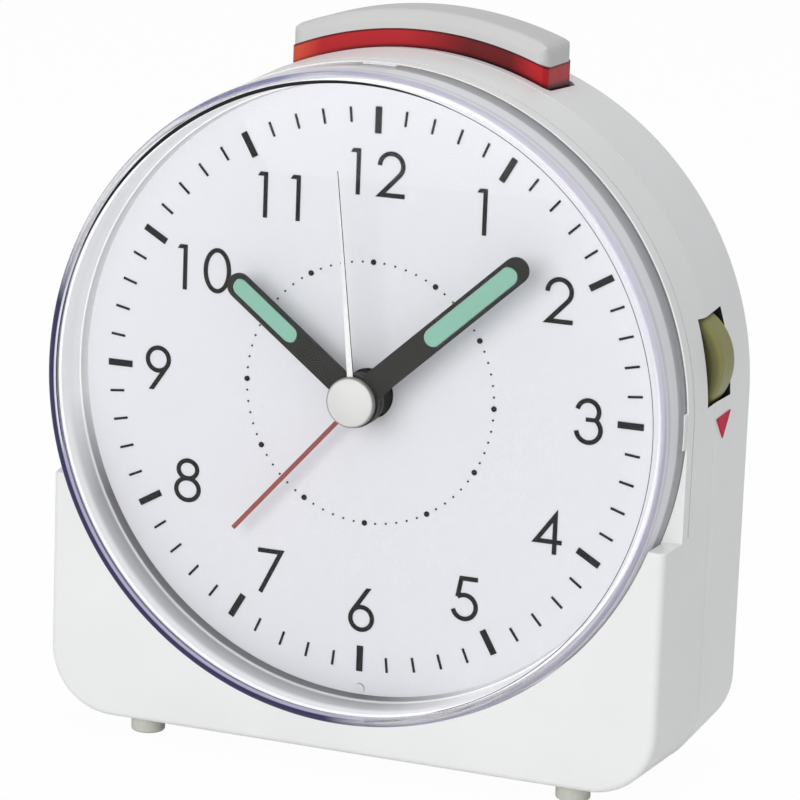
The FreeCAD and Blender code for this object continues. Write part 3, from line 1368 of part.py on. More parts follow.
def build_motors(at):
    """One flat stator with a coil for each rotor, held by pegs of the front case."""
    pegs = []
    for side, sign, level in (("minute", 1, 11.6), ("second", -1, 9.6)):
        x, z = at[side + "_rotor"]
        low, high = sorted((sign * of.stator_near.value, sign * of.stator_far.value))
        thick = of.stator_thickness.value

        def strip(a, b, bottom, top):
            bottom, top = sorted((z - sign * bottom, z - sign * top))
            return Part.makeBox(b - a, thick, top - bottom, vec(a, level, bottom))

        limb = of.stator_limb_half.value
        frame = strip(low, high, -limb, of.stator_outer.value)
        side_width = of.stator_side.value
        window = strip(low + side_width, high - side_width, of.stator_window_near.value,
                       of.stator_window_far.value)
        hole = disc(of.stator_hole.value, x, z, level - 1, 3)
        made(side + "_stator", frame.cut(window).cut(hole))
        coil_z = z - sign * (of.stator_window_far.value + of.stator_outer.value) / 2
        a, b = sorted((sign * of.coil_near.value, sign * of.coil_far.value))
        middle = level + thick / 2
        coil = Part.makeCylinder(of.coil_radius.value, b - a, vec(a, middle, coil_z), vec(1, 0, 0))
        limb_width = of.stator_outer.value - of.stator_window_far.value + 0.2
        core = Part.makeBox(30, thick + 0.2, limb_width,
                            vec(a - 5, level - 0.1, coil_z - limb_width / 2))
        made(side + "_coil", coil.cut(core))
        pegs.append((sign * of.stator_peg_far.value, z, level))
        pegs.append((sign * of.stator_peg_far.value, coil_z, level))
        pegs.append((sign * of.stator_peg_near.value, coil_z, level))
    return pegs


def build_movement_case(at, pegs):
    wide, tall = of.movement_half_width.value, of.movement_half_height.value
    front, back = of.movement_front.value, of.movement_back.value
    plate = of.movement_plate.value
    gap = of.pivot_gap.value
    box = Part.makeBox(2 * wide, back - front, 2 * tall, vec(-wide, front, -tall))
    inner = Part.makeBox(2 * (wide - plate), back, 2 * (tall - plate),
                         vec(plate - wide, front + plate, plate - tall))
    shape = box.cut(inner)
    solids = []
    for x in (-1, 1):
        for z in (-1, 1):
            solids.append(disc(of.movement_post_radius.value, x * of.movement_post_x.value,
                               z * of.movement_post_z.value, of.dial_thickness.value,
                               front - of.dial_thickness.value + 0.2))
    for x, z, level in pegs:
        solids.append(disc(of.stator_peg_radius.value, x, z, front + 0.2, level - front - 0.2))
    x, z = at["motion"]
    solids.append(disc(of.stud_radius.value, x, z, front + 0.2, 9.2 - front - 0.2))
    x, z = at["idler"]
    solids.append(disc(of.idler_stud_radius.value, x, z, 2.4, front - 2.4 + 0.2))
    shape = shape.fuse(solids)
    holes = [disc(of.hour_tube_outer.value + 0.15, 0, 0, 0, 7)]
    pivots = [at[name] for name in ("minute_reduction", "second_reduction", "minute_rotor",
                                    "second_rotor")]
    for x, z in pivots:
        holes.append(disc(of.pivot_radius.value + gap, x, z, 4.9, 3))
    made("movement_front_case", shape.cut(holes).removeSplitter())
    lid = Part.makeBox(2 * wide, plate, 2 * tall, vec(-wide, back, -tall))
    standoffs = []
    for x in (-1, 1):
        for z in (-1, 1):
            standoffs.append(disc(of.movement_post_radius.value, x * of.standoff_x.value,
                                  z * of.standoff_z.value, back + plate - 0.1,
                                  of.board_front.value - back - plate + 0.1))
    holes = [disc(of.arbor_radius.value + gap, 0, 0, back - 1, 1.8)]
    for x, z in pivots:
        holes.append(disc(of.pivot_radius.value + gap, x, z, back - 1, 1.8))
    made("movement_rear_case", lid.fuse(standoffs).cut(holes).removeSplitter())


def build_all():
    build_front_housing()
    build_rear_housing()
    build_lens()
    build_ring()
    build_dial()
    build_marks()
    build_feet()
    build_screws()
    build_direction_mark()
    build_snooze()
    build_battery()
    build_rear_controls()
    build_antenna()
    build_hands()
    places = build_wheels()
    pegs = build_motors(places)
    build_movement_case(places, pegs)


def finish():
    doc.recompute()
    for item in doc.Objects:
        if "Invalid" in item.State or "Error" in item.State:
            raise RuntimeError("object %s is %s" % (item.Label, item.State))
    labels = set()
    for item in nodes:
        shape = item.Shape
        if shape.isNull() or not shape.isValid():
            raise RuntimeError("shape of %s is not valid" % item.Label)
        if item.Label in labels:
            raise RuntimeError("two parts are called %s" % item.Label)
        labels.add(item.Label)
        shape.exportStep("parts/%s.step" % item.Label)
        box = shape.BoundBox
        print("%-24s %d solids %9.2f mm3  x %7.2f %7.2f  y %7.2f %7.2f  z %7.2f %7.2f" % (
            item.Label, len(shape.Solids), shape.Volume, box.XMin, box.XMax, box.YMin, box.YMax,
            box.ZMin, box.ZMax))
    print(len(nodes), "parts")


build_all()
finish()
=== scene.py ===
"""Analogue alarm clock with a round dial, a snooze bar on top and a thumb wheel in its right wall."""

import math

import bmesh
import bpy
from mathutils import Matrix, Vector


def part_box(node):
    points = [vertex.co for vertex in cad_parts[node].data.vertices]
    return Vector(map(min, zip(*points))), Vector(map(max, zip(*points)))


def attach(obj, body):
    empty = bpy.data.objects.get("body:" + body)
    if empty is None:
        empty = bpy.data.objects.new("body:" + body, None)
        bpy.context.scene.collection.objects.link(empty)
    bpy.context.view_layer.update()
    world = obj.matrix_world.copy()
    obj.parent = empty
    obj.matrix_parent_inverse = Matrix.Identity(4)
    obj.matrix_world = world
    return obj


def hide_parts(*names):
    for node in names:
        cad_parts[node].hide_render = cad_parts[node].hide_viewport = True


bl_info = {
    "name": "Analogue alarm clock",
    "version": (1, 0, 0),
    "blender": (4, 5, 0),
    "location": "View3D > Sidebar > Clock",
    "description": "Builds the visible pieces of an analogue alarm clock around its packed frame",
    "category": "Add Mesh",
}

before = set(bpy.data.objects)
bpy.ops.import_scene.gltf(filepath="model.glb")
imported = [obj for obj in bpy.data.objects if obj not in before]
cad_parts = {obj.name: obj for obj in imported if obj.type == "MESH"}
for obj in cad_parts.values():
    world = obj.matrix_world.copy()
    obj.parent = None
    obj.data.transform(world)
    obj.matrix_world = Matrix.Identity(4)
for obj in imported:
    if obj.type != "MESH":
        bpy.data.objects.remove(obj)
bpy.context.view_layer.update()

MM = 0.001
DIAL_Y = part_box("dial_plate")[0].y
DIAL_Z = (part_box("dial_plate")[0].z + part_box("dial_plate")[1].z) / 2
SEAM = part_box("rear_housing")[0].y - DIAL_Y


def place(x, level, z):
    """A point given in mm from the middle of the dial, in the frame, in metres."""
    return Vector((x * MM, DIAL_Y + level * MM, DIAL_Z + z * MM))


def away(p):
    """Distance of a point from the dial's axis, in mm."""
    return math.hypot(p.x, p.z - DIAL_Z) / MM


def level_of(p):
    """How far a point lies behind the dial's face, in mm."""
    return (p.y - DIAL_Y) / MM


# Sizes and colours

def size(name, description, default):
    return bpy.props.FloatProperty(name=name, description=description, default=default)


def colour(name, description, default):
    return bpy.props.FloatVectorProperty(
        name=name, description=description, default=default, subtype="COLOR", size=3,
        min=0.0, max=1.0)


class ClockSizes(bpy.types.PropertyGroup):
    """Sizes of the visible pieces, in mm from the middle of the dial's face."""

    case_half: size("Half width at the seam", "Widest half width of the case", 44.0)
    block_half: size("Half width of the block", "Half width at the front", 42.95)
    rear_half: size("Half width at the rear", "Half width at the rear wall", 43.3)
    case_floor: size("Floor of the case", "Depth of the floor under the dial", 47.6)
    corner: size("Corner radius", "Radius of the two lower corners", 8.8)
    ledge: size("Ledge", "Depth of the block's top under the dial's middle", 14.7)
    block_front: size("Block front", "How far the block stands before the dial", 5.8)
    rear: size("Rear wall", "Level of the rear wall behind the dial", 29.5)
    lens_front: size("Lens front", "How far the lens stands before the dial", 8.5)
    wheel_x: size("Wheel position", "Thumb wheel's middle, to the right", 37.1)
    wheel_z: size("Wheel height", "Thumb wheel's middle, above the dial's", 6.5)
    wheel_radius: size("Wheel radius", "Radius of the thumb wheel", 7.7)
    minute_angle: size("Minute hand", "Degrees clockwise from 12", 47.9)
    hour_angle: size("Hour hand", "Degrees clockwise from 12", 307.5)
    second_angle: size("Second hand", "Degrees clockwise from 12", 354.0)
    alarm_angle: size("Alarm hand", "Degrees clockwise from 12", 221.8)


class ClockColours(bpy.types.PropertyGroup):
    """Base colours of the finishes."""

    case: colour("Housing", "White plastic of the case", (0.80, 0.80, 0.795))
    dial: colour("Dial", "Matt white of the dial", (0.74, 0.74, 0.775))
    ink: colour("Ink", "Print on the dial", (0.010, 0.010, 0.011))
    skirt: colour("Skirt", "Red plastic under the snooze bar", (0.46, 0.014, 0.020))
    snooze: colour("Snooze bar", "White plastic of the snooze bar", (0.59, 0.59, 0.58))
    olive: colour("Thumb wheel", "Olive plastic of the thumb wheel", (0.25, 0.24, 0.085))
    hand: colour("Hands", "Dark paint of the hands", (0.021, 0.021, 0.019))
    glow: colour("Luminous bars", "Pale green of the luminous bars", (0.26, 0.50, 0.40))
    alarm: colour("Alarm hand", "Red of the alarm hand", (0.30, 0.075, 0.075))
    rubber: colour("Feet", "Grey rubber of the feet", (0.60, 0.61, 0.55))
    mark: colour("Mark", "Red mark beside the wheel", (0.58, 0.008, 0.060))
    # Navy of the painted reflection towards the lower left of the lens's edge.
    lens_edge_painted_navy: colour("Lens edge", "Navy tint of the lens's edge", (0.032, 0.032, 0.095))


def sizes():
    return bpy.context.scene.clock_sizes


def colours():
    return bpy.context.scene.clock_colours


# Selection and mesh helpers

def leave_all():
    """Back to object mode with nothing selected."""
    if bpy.context.object and bpy.context.object.mode != "OBJECT":
        bpy.ops.object.mode_set(mode="OBJECT")
    bpy.ops.object.select_all(action="DESELECT")


def pick(item):
    leave_all()
    item.select_set(True)
    bpy.context.view_layer.objects.active = item
    return item


def edit(item):
    pick(item)
    bpy.ops.object.mode_set(mode="EDIT")


def select_parts(item, kind, test):
    """Selects the vertices, edges or faces whose points all pass the test. In edit mode."""
    bpy.ops.mesh.select_mode(type=kind)
    bpy.ops.mesh.select_all(action="DESELECT")
    grid = bmesh.from_edit_mesh(item.data)
    parts = {"VERT": grid.verts, "EDGE": grid.edges, "FACE": grid.faces}[kind]
    found = 0
    for part in parts:
        points = [part.co] if kind == "VERT" else [corner.co for corner in part.verts]
        if all(test(point) for point in points):
            part.select_set(True)
            found += 1
    grid.select_flush_mode()
    bmesh.update_edit_mesh(item.data)
    return found


def named(name):
    """Names the active object and its mesh."""
    item = bpy.context.object
    item.name = name
    item.data.name = name
    return item


def settle():
    """Makes the place, turn and scale of the selected object part of its mesh."""
    bpy.ops.object.transform_apply(location=True, rotation=True, scale=True)


def draw(name, points, closed=True):
    """Starts with one vertex and extrudes it from point to point. Stays in edit mode."""
    leave_all()
    bpy.ops.mesh.primitive_plane_add(size=MM, location=(0, 0, 0))
    item = named(name)
    bpy.ops.object.mode_set(mode="EDIT")
    bpy.ops.mesh.select_mode(type="VERT")
    bpy.ops.mesh.select_all(action="SELECT")
    bpy.ops.mesh.merge(type="CENTER")
    bpy.ops.transform.translate(value=points[0])
    for last, point in zip(points, points[1:]):
        bpy.ops.mesh.extrude_vertices_move(TRANSFORM_OT_translate={"value": point - last})
    if closed:
        grid = bmesh.from_edit_mesh(item.data)
        for corner in grid.verts:
            corner.select_set(len(corner.link_edges) < 2)
        grid.select_flush_mode()
        bmesh.update_edit_mesh(item.data)
        bpy.ops.mesh.edge_face_add()
    bpy.ops.mesh.select_all(action="SELECT")
    return item


def tidy_faces():
    """Merges doubles and points all faces outwards. In edit mode."""
    bpy.ops.mesh.select_all(action="SELECT")
    bpy.ops.mesh.remove_doubles(threshold=1e-6)
    bpy.ops.mesh.normals_make_consistent(inside=False)


def lathe(name, profile, steps=96, middle=(0.0, 0.0)):
    """Spins a profile of (radius, level) pairs in mm about an axis from front to back."""
    x, z = middle
    item = draw(name, [place(x + radius, level, z) for radius, level in profile], closed=False)
    bpy.ops.mesh.spin(steps=steps, angle=2 * math.pi, center=place(x, 0, z), axis=(0, 1, 0))
    tidy_faces()
    bpy.ops.object.mode_set(mode="OBJECT")
    return item


def extruded(name, points, step):
    """Fills an outline and extrudes it by one step in metres. Stays in edit mode."""
    item = draw(name, points)
    bpy.ops.mesh.edge_face_add()
    bpy.ops.mesh.extrude_region_move(TRANSFORM_OT_translate={"value": step})
    return item


def prism(name, points, step):
    """A closed piece from an outline and one step."""
    item = extruded(name, points, step)
    tidy_faces()
    bpy.ops.object.mode_set(mode="OBJECT")
    return item


def slab(name, outline, front, back):
    """A flat piece: an outline of (x, z) pairs in mm, filled and extruded backwards."""
    return prism(name, [place(x, front, z) for x, z in outline], (0, (back - front) * MM, 0))


def upright(name, plan, low, high):
    """A prism over an outline of (x, level) pairs in mm, from one height to another."""
    return prism(name, [place(x, level, low) for x, level in plan], (0, 0, (high - low) * MM))


def sideways(name, profile, x0, x1):
    """A prism over an outline of (level, z) pairs in mm, from left to right."""
    return prism(name, [place(x0, level, z) for level, z in profile], ((x1 - x0) * MM, 0, 0))


def box(name, x0, x1, front, back, z0, z1):
    """A cuboid between two corners, in mm."""
    leave_all()
    low, high = place(x0, front, z0), place(x1, back, z1)
    bpy.ops.mesh.primitive_cube_add(size=1, location=(low + high) / 2, scale=high - low)
    item = named(name)
    settle()
    return item


def cylinder(name, middle, radius, length, turn, sides):
    """A cylinder about its middle point, turned from upright."""
    leave_all()
    bpy.ops.mesh.primitive_cylinder_add(
        vertices=sides, radius=radius * MM, depth=length * MM, location=middle, rotation=turn)
    item = named(name)
    settle()
    return item


def drum(name, x, z, radius, front, back, sides=48):
    """A cylinder from front to back, in mm."""
    return cylinder(name, place(x, (front + back) / 2, z), radius, back - front,
                    (math.pi / 2, 0, 0), sides)


def rod(name, x0, x1, level, z, radius, sides=32):
    """A cylinder from left to right, in mm."""
    return cylinder(name, place((x0 + x1) / 2, level, z), radius, x1 - x0,
                    (0, math.pi / 2, 0), sides)


def copy_of(item, name, turn=0.0, middle=(0, 0), move=(0, 0)):
    """A copy with its own mesh, turned clockwise about a point of the dial and moved, in mm."""
    pick(item)
    bpy.ops.object.duplicate(linked=False)
    item = named(name)
    centre = place(middle[0], 0, middle[1])
    shift = Vector((move[0] * MM, 0, move[1] * MM))
    turning = Matrix.Rotation(math.radians(turn), 4, "Y")
    item.matrix_world = Matrix.Translation(centre + shift) @ turning @ Matrix.Translation(-centre)
    settle()
    return item


def join(items, name):
    """Joins copies to one piece."""
    leave_all()
    for item in items:
        item.select_set(True)
    bpy.context.view_layer.objects.active = items[0]
    bpy.ops.object.join()
    return named(name)


def apply(item, kind, **settings):
    """Adds a modifier and applies it."""
    pick(item)
    change = item.modifiers.new(kind.title(), kind)
    for key, value in settings.items():
        setattr(change, key, value)
    bpy.ops.object.modifier_apply(modifier=change.name)


def carve(item, tool, operation="DIFFERENCE"):
    """Cuts the tool out of the piece, or joins it on, and removes the tool."""
    apply(item, "BOOLEAN", object=tool, operation=operation, solver="EXACT")
    bpy.data.objects.remove(tool)


def round_edges(item, width, segments, test, spare=None):
    """Bevels the edges whose two ends pass the test, except where both pass the spare one."""
    edit(item)
    if not select_parts(item, "EDGE", test):
        raise RuntimeError("no edge to round on " + item.name)
    if spare:
        grid = bmesh.from_edit_mesh(item.data)
        for edge in grid.edges:
            edge.select_set(edge.select and not all(spare(corner.co) for corner in edge.verts))
        bmesh.update_edit_mesh(item.data)
    bpy.ops.mesh.bevel(offset=width * MM, segments=segments, affect="EDGES", clamp_overlap=False)
    bpy.ops.object.mode_set(mode="OBJECT")


def soften(item, width, segments=2, angle=40):
    """A narrow bevel along every edge sharper than the angle."""
    apply(item, "BEVEL", width=width * MM, segments=segments, limit_method="ANGLE",
          angle_limit=math.radians(angle), harden_normals=False)


def finish(item, material, body, replaced=(), smooth=35, weighted=True):
    """Shades the piece, gives it its finish and ties it to its body."""
    edit(item)
    bpy.ops.mesh.select_all(action="SELECT")
    bpy.ops.mesh.dissolve_degenerate(threshold=1e-7)
    bpy.ops.mesh.remove_doubles(threshold=1e-7)
    bpy.ops.object.mode_set(mode="OBJECT")
    bpy.ops.object.shade_smooth_by_angle(angle=math.radians(smooth))
    if weighted:
        apply(item, "WEIGHTED_NORMAL", keep_sharp=True, weight=50)
    item.data.materials.clear()
    item.data.materials.append(material)
    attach(item, body)
    if replaced:
        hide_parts(*replaced)
    leave_all()
    return item


def second_finish(item, material, test):
    """Gives another finish to the faces whose points all pass the test."""
    item.data.materials.append(material)
    edit(item)
    select_parts(item, "FACE", test)
    item.active_material_index = len(item.data.materials) - 1
    bpy.ops.object.material_slot_assign()
    leave_all()


def arc(middle, radius, start, end, count):
    """Points on an arc in the dial's plane, degrees from x towards z."""
    points = []
    for step in range(count + 1):
        angle = math.radians(start + (end - start) * step / count)
        points.append((middle[0] + radius * math.cos(angle), middle[1] + radius * math.sin(angle)))
    return points


def clockwise(points, angle):
    """Turns (x, z) pairs about the dial's axis, clockwise as the dial is read."""
    turn = math.radians(angle)
    c, s = math.cos(turn), math.sin(turn)
    return [(x * c + z * s, z * c - x * s) for x, z in points]


def rounded(points, radius, count=5):
    """Replaces the corners of a (radius, level) profile by small arcs where a radius is given."""
    result = []
    for i, point in enumerate(points):
        r = radius[i]
        if not r:
            result.append(point)
            continue
        before = Vector(points[i - 1]) - Vector(point)
        after = Vector(points[(i + 1) % len(points)]) - Vector(point)
        half = before.angle(after) / 2
        reach = r / math.tan(half)
        first = Vector(point) + before.normalized() * reach
        last = Vector(point) + after.normalized() * reach
        middle = Vector(point) + (before.normalized() + after.normalized()).normalized() * (
            r / math.sin(half))
        a, b = first - middle, last - middle
        sweep = a.angle(b)
        for step in range(count + 1):
            share = step / count
            mix = (a * math.sin((1 - share) * sweep) + b * math.sin(share * sweep)) / math.sin(sweep)
            result.append(tuple(middle + mix))
    return result


def horseshoe(half, floor, corner, arc_steps=96, corner_steps=14):
    """Half circle about the dial's axis, straight sides and two round lower corners."""
    points = arc((0, 0), half, 0, 180, arc_steps)
    points += arc((corner - half, corner - floor), corner, 180, 270, corner_steps)
    points += arc((half - corner, corner - floor), corner, 270, 360, corner_steps)
    return points


# Materials

CLEAR_IOR = 1.47
LAMP_LIGHT = ("Is Shadow Ray", "Is Diffuse Ray")
# Light and lavender of the painted reflections in the lens's edge.
RIM_PAINTED_LIGHT = (0.76, 0.76, 0.79)
RIM_PAINTED_LAVENDER = (0.42, 0.40, 0.53)


class Nodes:
    """Short ways to add nodes to a tree."""

    def __init__(self, tree):
        self.tree = tree

    def node(self, kind, **settings):
        item = self.tree.nodes.new(kind)
        for key, value in settings.items():
            setattr(item, key, value)
        return item

    def link(self, start, end):
        self.tree.links.new(start, end)

    def feed(self, socket, value):
        """Sets a socket to a number, or links another socket to it."""
        if isinstance(value, (int, float)):
            socket.default_value = value
        else:
            self.link(value, socket)

    def surface(self, shader, output="Material Output"):
        """Shows a shader."""
        self.link(shader, self.tree.nodes[output].inputs["Surface"])

    def math(self, operation, first, second=0.0):
        item = self.node("ShaderNodeMath", operation=operation)
        self.feed(item.inputs[0], first)
        self.feed(item.inputs[1], second)
        return item.outputs["Value"]

    def mix(self, share, first, second):
        item = self.node("ShaderNodeMixShader")
        self.feed(item.inputs["Fac"], share)
        self.link(first, item.inputs[1])
        self.link(second, item.inputs[2])
        return item.outputs["Shader"]

    def rays(self, *kinds):
        """1 for rays of any of these kinds, and 0 for the rest."""
        path = self.node("ShaderNodeLightPath")
        found = path.outputs[kinds[0]]
        for kind in kinds[1:]:
            found = self.math("MAXIMUM", found, path.outputs[kind])
        return found

    def sight(self, most, gloss):
        """One share for rays that look straight or through glass, one for gloss, 0 for the rest."""
        seen = self.math("MULTIPLY", self.rays("Is Camera Ray", "Is Transmission Ray"), most)
        shiny = self.math("MULTIPLY", self.rays("Is Glossy Ray"), gloss)
        depth = self.node("ShaderNodeLightPath").outputs["Diffuse Depth"]
        direct = self.math("LESS_THAN", depth, 0.5)
        return self.math("MULTIPLY", self.math("MAXIMUM", seen, shiny), direct)


class Finish(Nodes):
    """A new material with its principled shader."""

    def __init__(self, name, base, roughness=0.4, metallic=0.0):
        self.material = bpy.data.materials.new(name)
        self.material.use_nodes = True
        super().__init__(self.material.node_tree)
        self.shader = self.tree.nodes["Principled BSDF"]
        self.coordinates = self.node("ShaderNodeTexCoord")
        self.set("Base Color", (*base, 1.0))
        self.set("Roughness", roughness)
        self.set("Metallic", metallic)

    def set(self, name, value):
        self.shader.inputs[name].default_value = value

    def noise(self, scale, detail=2.0, roughness=0.5, stretch=None):
        """Noise over the piece's own coordinates, with so many patches to the metre."""
        item = self.node("ShaderNodeTexNoise")
        item.inputs["Scale"].default_value = scale
        item.inputs["Detail"].default_value = detail
        item.inputs["Roughness"].default_value = roughness
        source = self.coordinates.outputs["Object"]
        if stretch:
            mapping = self.node("ShaderNodeMapping")
            mapping.inputs["Scale"].default_value = stretch
            self.link(source, mapping.inputs["Vector"])
            source = mapping.outputs["Vector"]
        self.link(source, item.inputs["Vector"])
        return item.outputs["Fac"]

    def ramp(self, value, stops):
        item = self.node("ShaderNodeValToRGB")
        band = item.color_ramp
        while len(band.elements) < len(stops):
            band.elements.new(0.5)
        for element, (position, shade) in zip(band.elements, stops):
            element.position = position
            element.color = (*shade, 1.0) if len(shade) == 3 else shade
        self.link(value, item.inputs["Fac"])
        return item.outputs["Color"]

    def remap(self, value, low, high, start=0.0, end=1.0):
        """Maps a value from low..high to start..end, and holds it there."""
        item = self.node("ShaderNodeMapRange")
        for name, number in (("From Min", low), ("From Max", high),
                             ("To Min", start), ("To Max", end)):
            item.inputs[name].default_value = number
        self.link(value, item.inputs["Value"])
        return item.outputs["Result"]

    def spread(self, value, low, high, name):
        """Maps a value from 0.3..0.7 to low..high on an input of the shader."""
        self.link(self.remap(value, 0.3, 0.7, low, high), self.shader.inputs[name])

    def tint(self, base, amount, scale):
        """Slow, slight changes of the base colour."""
        dark = tuple(c * (1 - amount) for c in base)
        light = tuple(min(1.0, c * (1 + amount)) for c in base)
        self.paint(self.ramp(self.noise(scale, 2.0), [(0.3, dark), (0.7, light)]))

    def bump(self, value, height, strength=1.0):
        item = self.node("ShaderNodeBump")
        item.inputs["Distance"].default_value = height
        item.inputs["Strength"].default_value = strength
        self.link(value, item.inputs["Height"])
        self.link(item.outputs["Normal"], self.shader.inputs["Normal"])

    def axis(self, name):
        """One of the piece's own coordinates, in metres."""
        item = self.node("ShaderNodeSeparateXYZ")
        self.link(self.coordinates.outputs["Object"], item.inputs["Vector"])
        return item.outputs[name]

    def height(self):
        """Height over the dial's middle, in metres."""
        return self.math("SUBTRACT", self.axis("Z"), DIAL_Z)

    def lean(self, x_share, z_share):
        """How far a point lies towards a direction in the dial's plane, in metres."""
        return self.math("ADD", self.math("MULTIPLY", self.axis("X"), x_share),
                         self.math("MULTIPLY", self.height(), z_share))

    def from_axis(self):
        """Distance from the dial's axis, in metres."""
        squares = self.math("ADD", self.math("POWER", self.axis("X"), 2.0),
                            self.math("POWER", self.height(), 2.0))
        return self.math("SQRT", squares)

    def waver(self, value, scale, amount):
        """Adds a little noise to a value."""
        return self.math("ADD", value, self.math("MULTIPLY", self.noise(scale), amount))

    def blend(self, share, first, second, kind="MIX"):
        """Mixes two colours, each a socket or a plain colour."""
        item = self.node("ShaderNodeMix", data_type="RGBA", blend_type=kind)
        self.feed(item.inputs["Factor"], share)
        for socket, shade in ((item.inputs[6], first), (item.inputs[7], second)):
            if isinstance(shade, tuple):
                socket.default_value = (*shade, 1.0)
            else:
                self.link(shade, socket)
        return item.outputs[2]

    def paint(self, shade):
        """Uses a colour as the base colour."""
        self.link(shade, self.shader.inputs["Base Color"])

    def texture(self, coarse, low, high, fine, height, strength):
        """Uneven roughness from one noise (scale, detail) and a bump from another."""
        self.spread(self.noise(*coarse), low, high, "Roughness")
        self.bump(self.noise(*fine), height, strength)

    def clear_to(self, solid, *kinds):
        """Shows a shader, and lets rays of some kinds straight through it."""
        clear = self.node("ShaderNodeBsdfTransparent")
        self.surface(self.mix(self.rays(*kinds), solid, clear.outputs["BSDF"]))


def moulded(name, base, roughness, grain, grain_scale, amount, coat=0.0, gloss=0.5):
    """Moulded plastic: slight colour changes, a fine eroded texture and uneven gloss."""
    look = Finish(name, base, roughness)
    look.tint(base, amount, 60.0)
    look.texture((900.0, 3.0), roughness - 0.04, roughness + 0.05, (grain_scale, 3.0, 0.6), grain, 0.6)
    look.set("IOR", 1.5)
    look.set("Specular IOR Level", gloss)
    if coat:
        look.set("Coat Weight", coat)
        look.set("Coat Roughness", 0.08)
    return look.material


def metal(name, base, roughness, stretch=(40.0, 4000.0, 4000.0), depth=0.000006):
    """Metal with fine drawn lines."""
    look = Finish(name, base, roughness, 0.85)
    look.spread(look.noise(1.0, 3.0, 0.6, stretch), roughness - 0.08, roughness + 0.1, "Roughness")
    look.bump(look.noise(1.0, 2.0, 0.5, stretch), depth, 0.5)
    return look.material


def clear_look(name, tint, roughness, low, high, shine):
    """Clear moulded plastic, before it is shown."""
    look = Finish(name, tint, roughness)
    look.set("Transmission Weight", 1.0)
    look.set("IOR", CLEAR_IOR)
    look.set("Specular Tint", (shine, shine, shine, 1.0))
    look.texture((300.0, 2.0), low, high, (90.0, 1.0), 0.000004, 0.1)
    return look


def clear_plastic():
    """Clear plastic of the lens. Lamp light passes to what lies behind."""
    look = clear_look("Clear lens", (1.0, 1.0, 1.0), 0.0, 0.0, 0.012, 0.2)
    look.clear_to(look.shader.outputs["BSDF"], *LAMP_LIGHT)
    return look.material


def red_plastic(name, base):
    """Red plastic under the snooze bar, with painted light at its left end and painted shade to the right
    and along its lower and upper edges.
    """
    look = Finish(name, base, 0.35)
    # Painted light and shade along the skirt's length.
    along = look.remap(look.axis("X"), -18 * MM, 18 * MM)
    uneven = look.waver(along, 40.0, 0.08)
    painted_lit_red = (min(1.0, base[0] * 1.35), base[1] * 6.0, base[2] * 2.0)
    painted_shaded_red = tuple(c * 0.3 for c in base)
    shade = look.ramp(uneven, [(0.06, painted_lit_red), (0.16, base), (0.5, base), (0.74, painted_shaded_red),
                               (0.9, painted_shaded_red), (0.98, base)])
    # Painted shade: dark lines along the opening below and under the snooze bar's cap above.
    bands = look.ramp(look.remap(look.from_axis(), 43.6 * MM, 46.3 * MM),
                      [(0.0, (0.1, 0.1, 0.1)), (0.12, (0.25, 0.25, 0.25)), (0.3, (1, 1, 1)),
                       (0.88, (1, 1, 1)), (0.93, (0.3, 0.3, 0.3))])
    look.paint(look.blend(1.0, shade, bands, "MULTIPLY"))
    look.texture((900.0, 3.0), 0.3, 0.4, (2400.0, 3.0), 0.000004, 0.5)
    look.set("Specular IOR Level", 0.15)
    return look.material


def cap_metal():
    """Satin metal of the cap over the centre, with painted shade at its rounded edge."""
    look = Finish("Cap metal", (0.5, 0.5, 0.5), 0.55, 0.2)
    shade = look.ramp(look.remap(look.from_axis(), 0.0, 3.4 * MM),
                      [(0.0, (0.62, 0.62, 0.605)), (0.88, (0.60, 0.60, 0.585)),
                       (0.96, (0.20, 0.20, 0.19))])
    look.paint(shade)
    look.texture((900.0, 3.0), 0.45, 0.55, (2500.0, 3.0), 0.000004, 0.4)
    return look.material


def needle_metal():
    """Metal of the second hand, palest at its hub."""
    look = Finish("Second hand metal", (0.6, 0.6, 0.6), 0.45, 0.3)
    reach = look.remap(look.from_axis(), 6 * MM, 22 * MM)
    uneven = look.waver(reach, 700.0, 0.05)
    shade = look.ramp(uneven, [(0.1, (0.72, 0.72, 0.72)), (0.9, (0.60, 0.60, 0.61))])
    look.paint(shade)
    look.texture((900.0, 3.0), 0.4, 0.5, (2500.0, 2.0), 0.000001, 0.3)
    return look.material


def olive_plastic(base):
    """Olive plastic of the thumb wheel, with painted shade on its front face, which lies deep in the
    opening.
    """
    look = Finish("Olive wheel plastic", base, 0.42)
    # Painted shade: darker towards the front face.
    depth = look.remap(look.axis("Y"), DIAL_Y + 7.9 * MM, DIAL_Y + 8.9 * MM)
    uneven = look.waver(depth, 300.0, 0.06)
    dark = tuple(c * 0.25 for c in base)
    shade = look.ramp(uneven, [(0.1, dark), (0.9, base)])
    look.paint(shade)
    look.texture((900.0, 3.0), 0.38, 0.47, (1800.0, 3.0), 0.000012, 0.6)
    look.set("Specular IOR Level", 0.3)
    return look.material


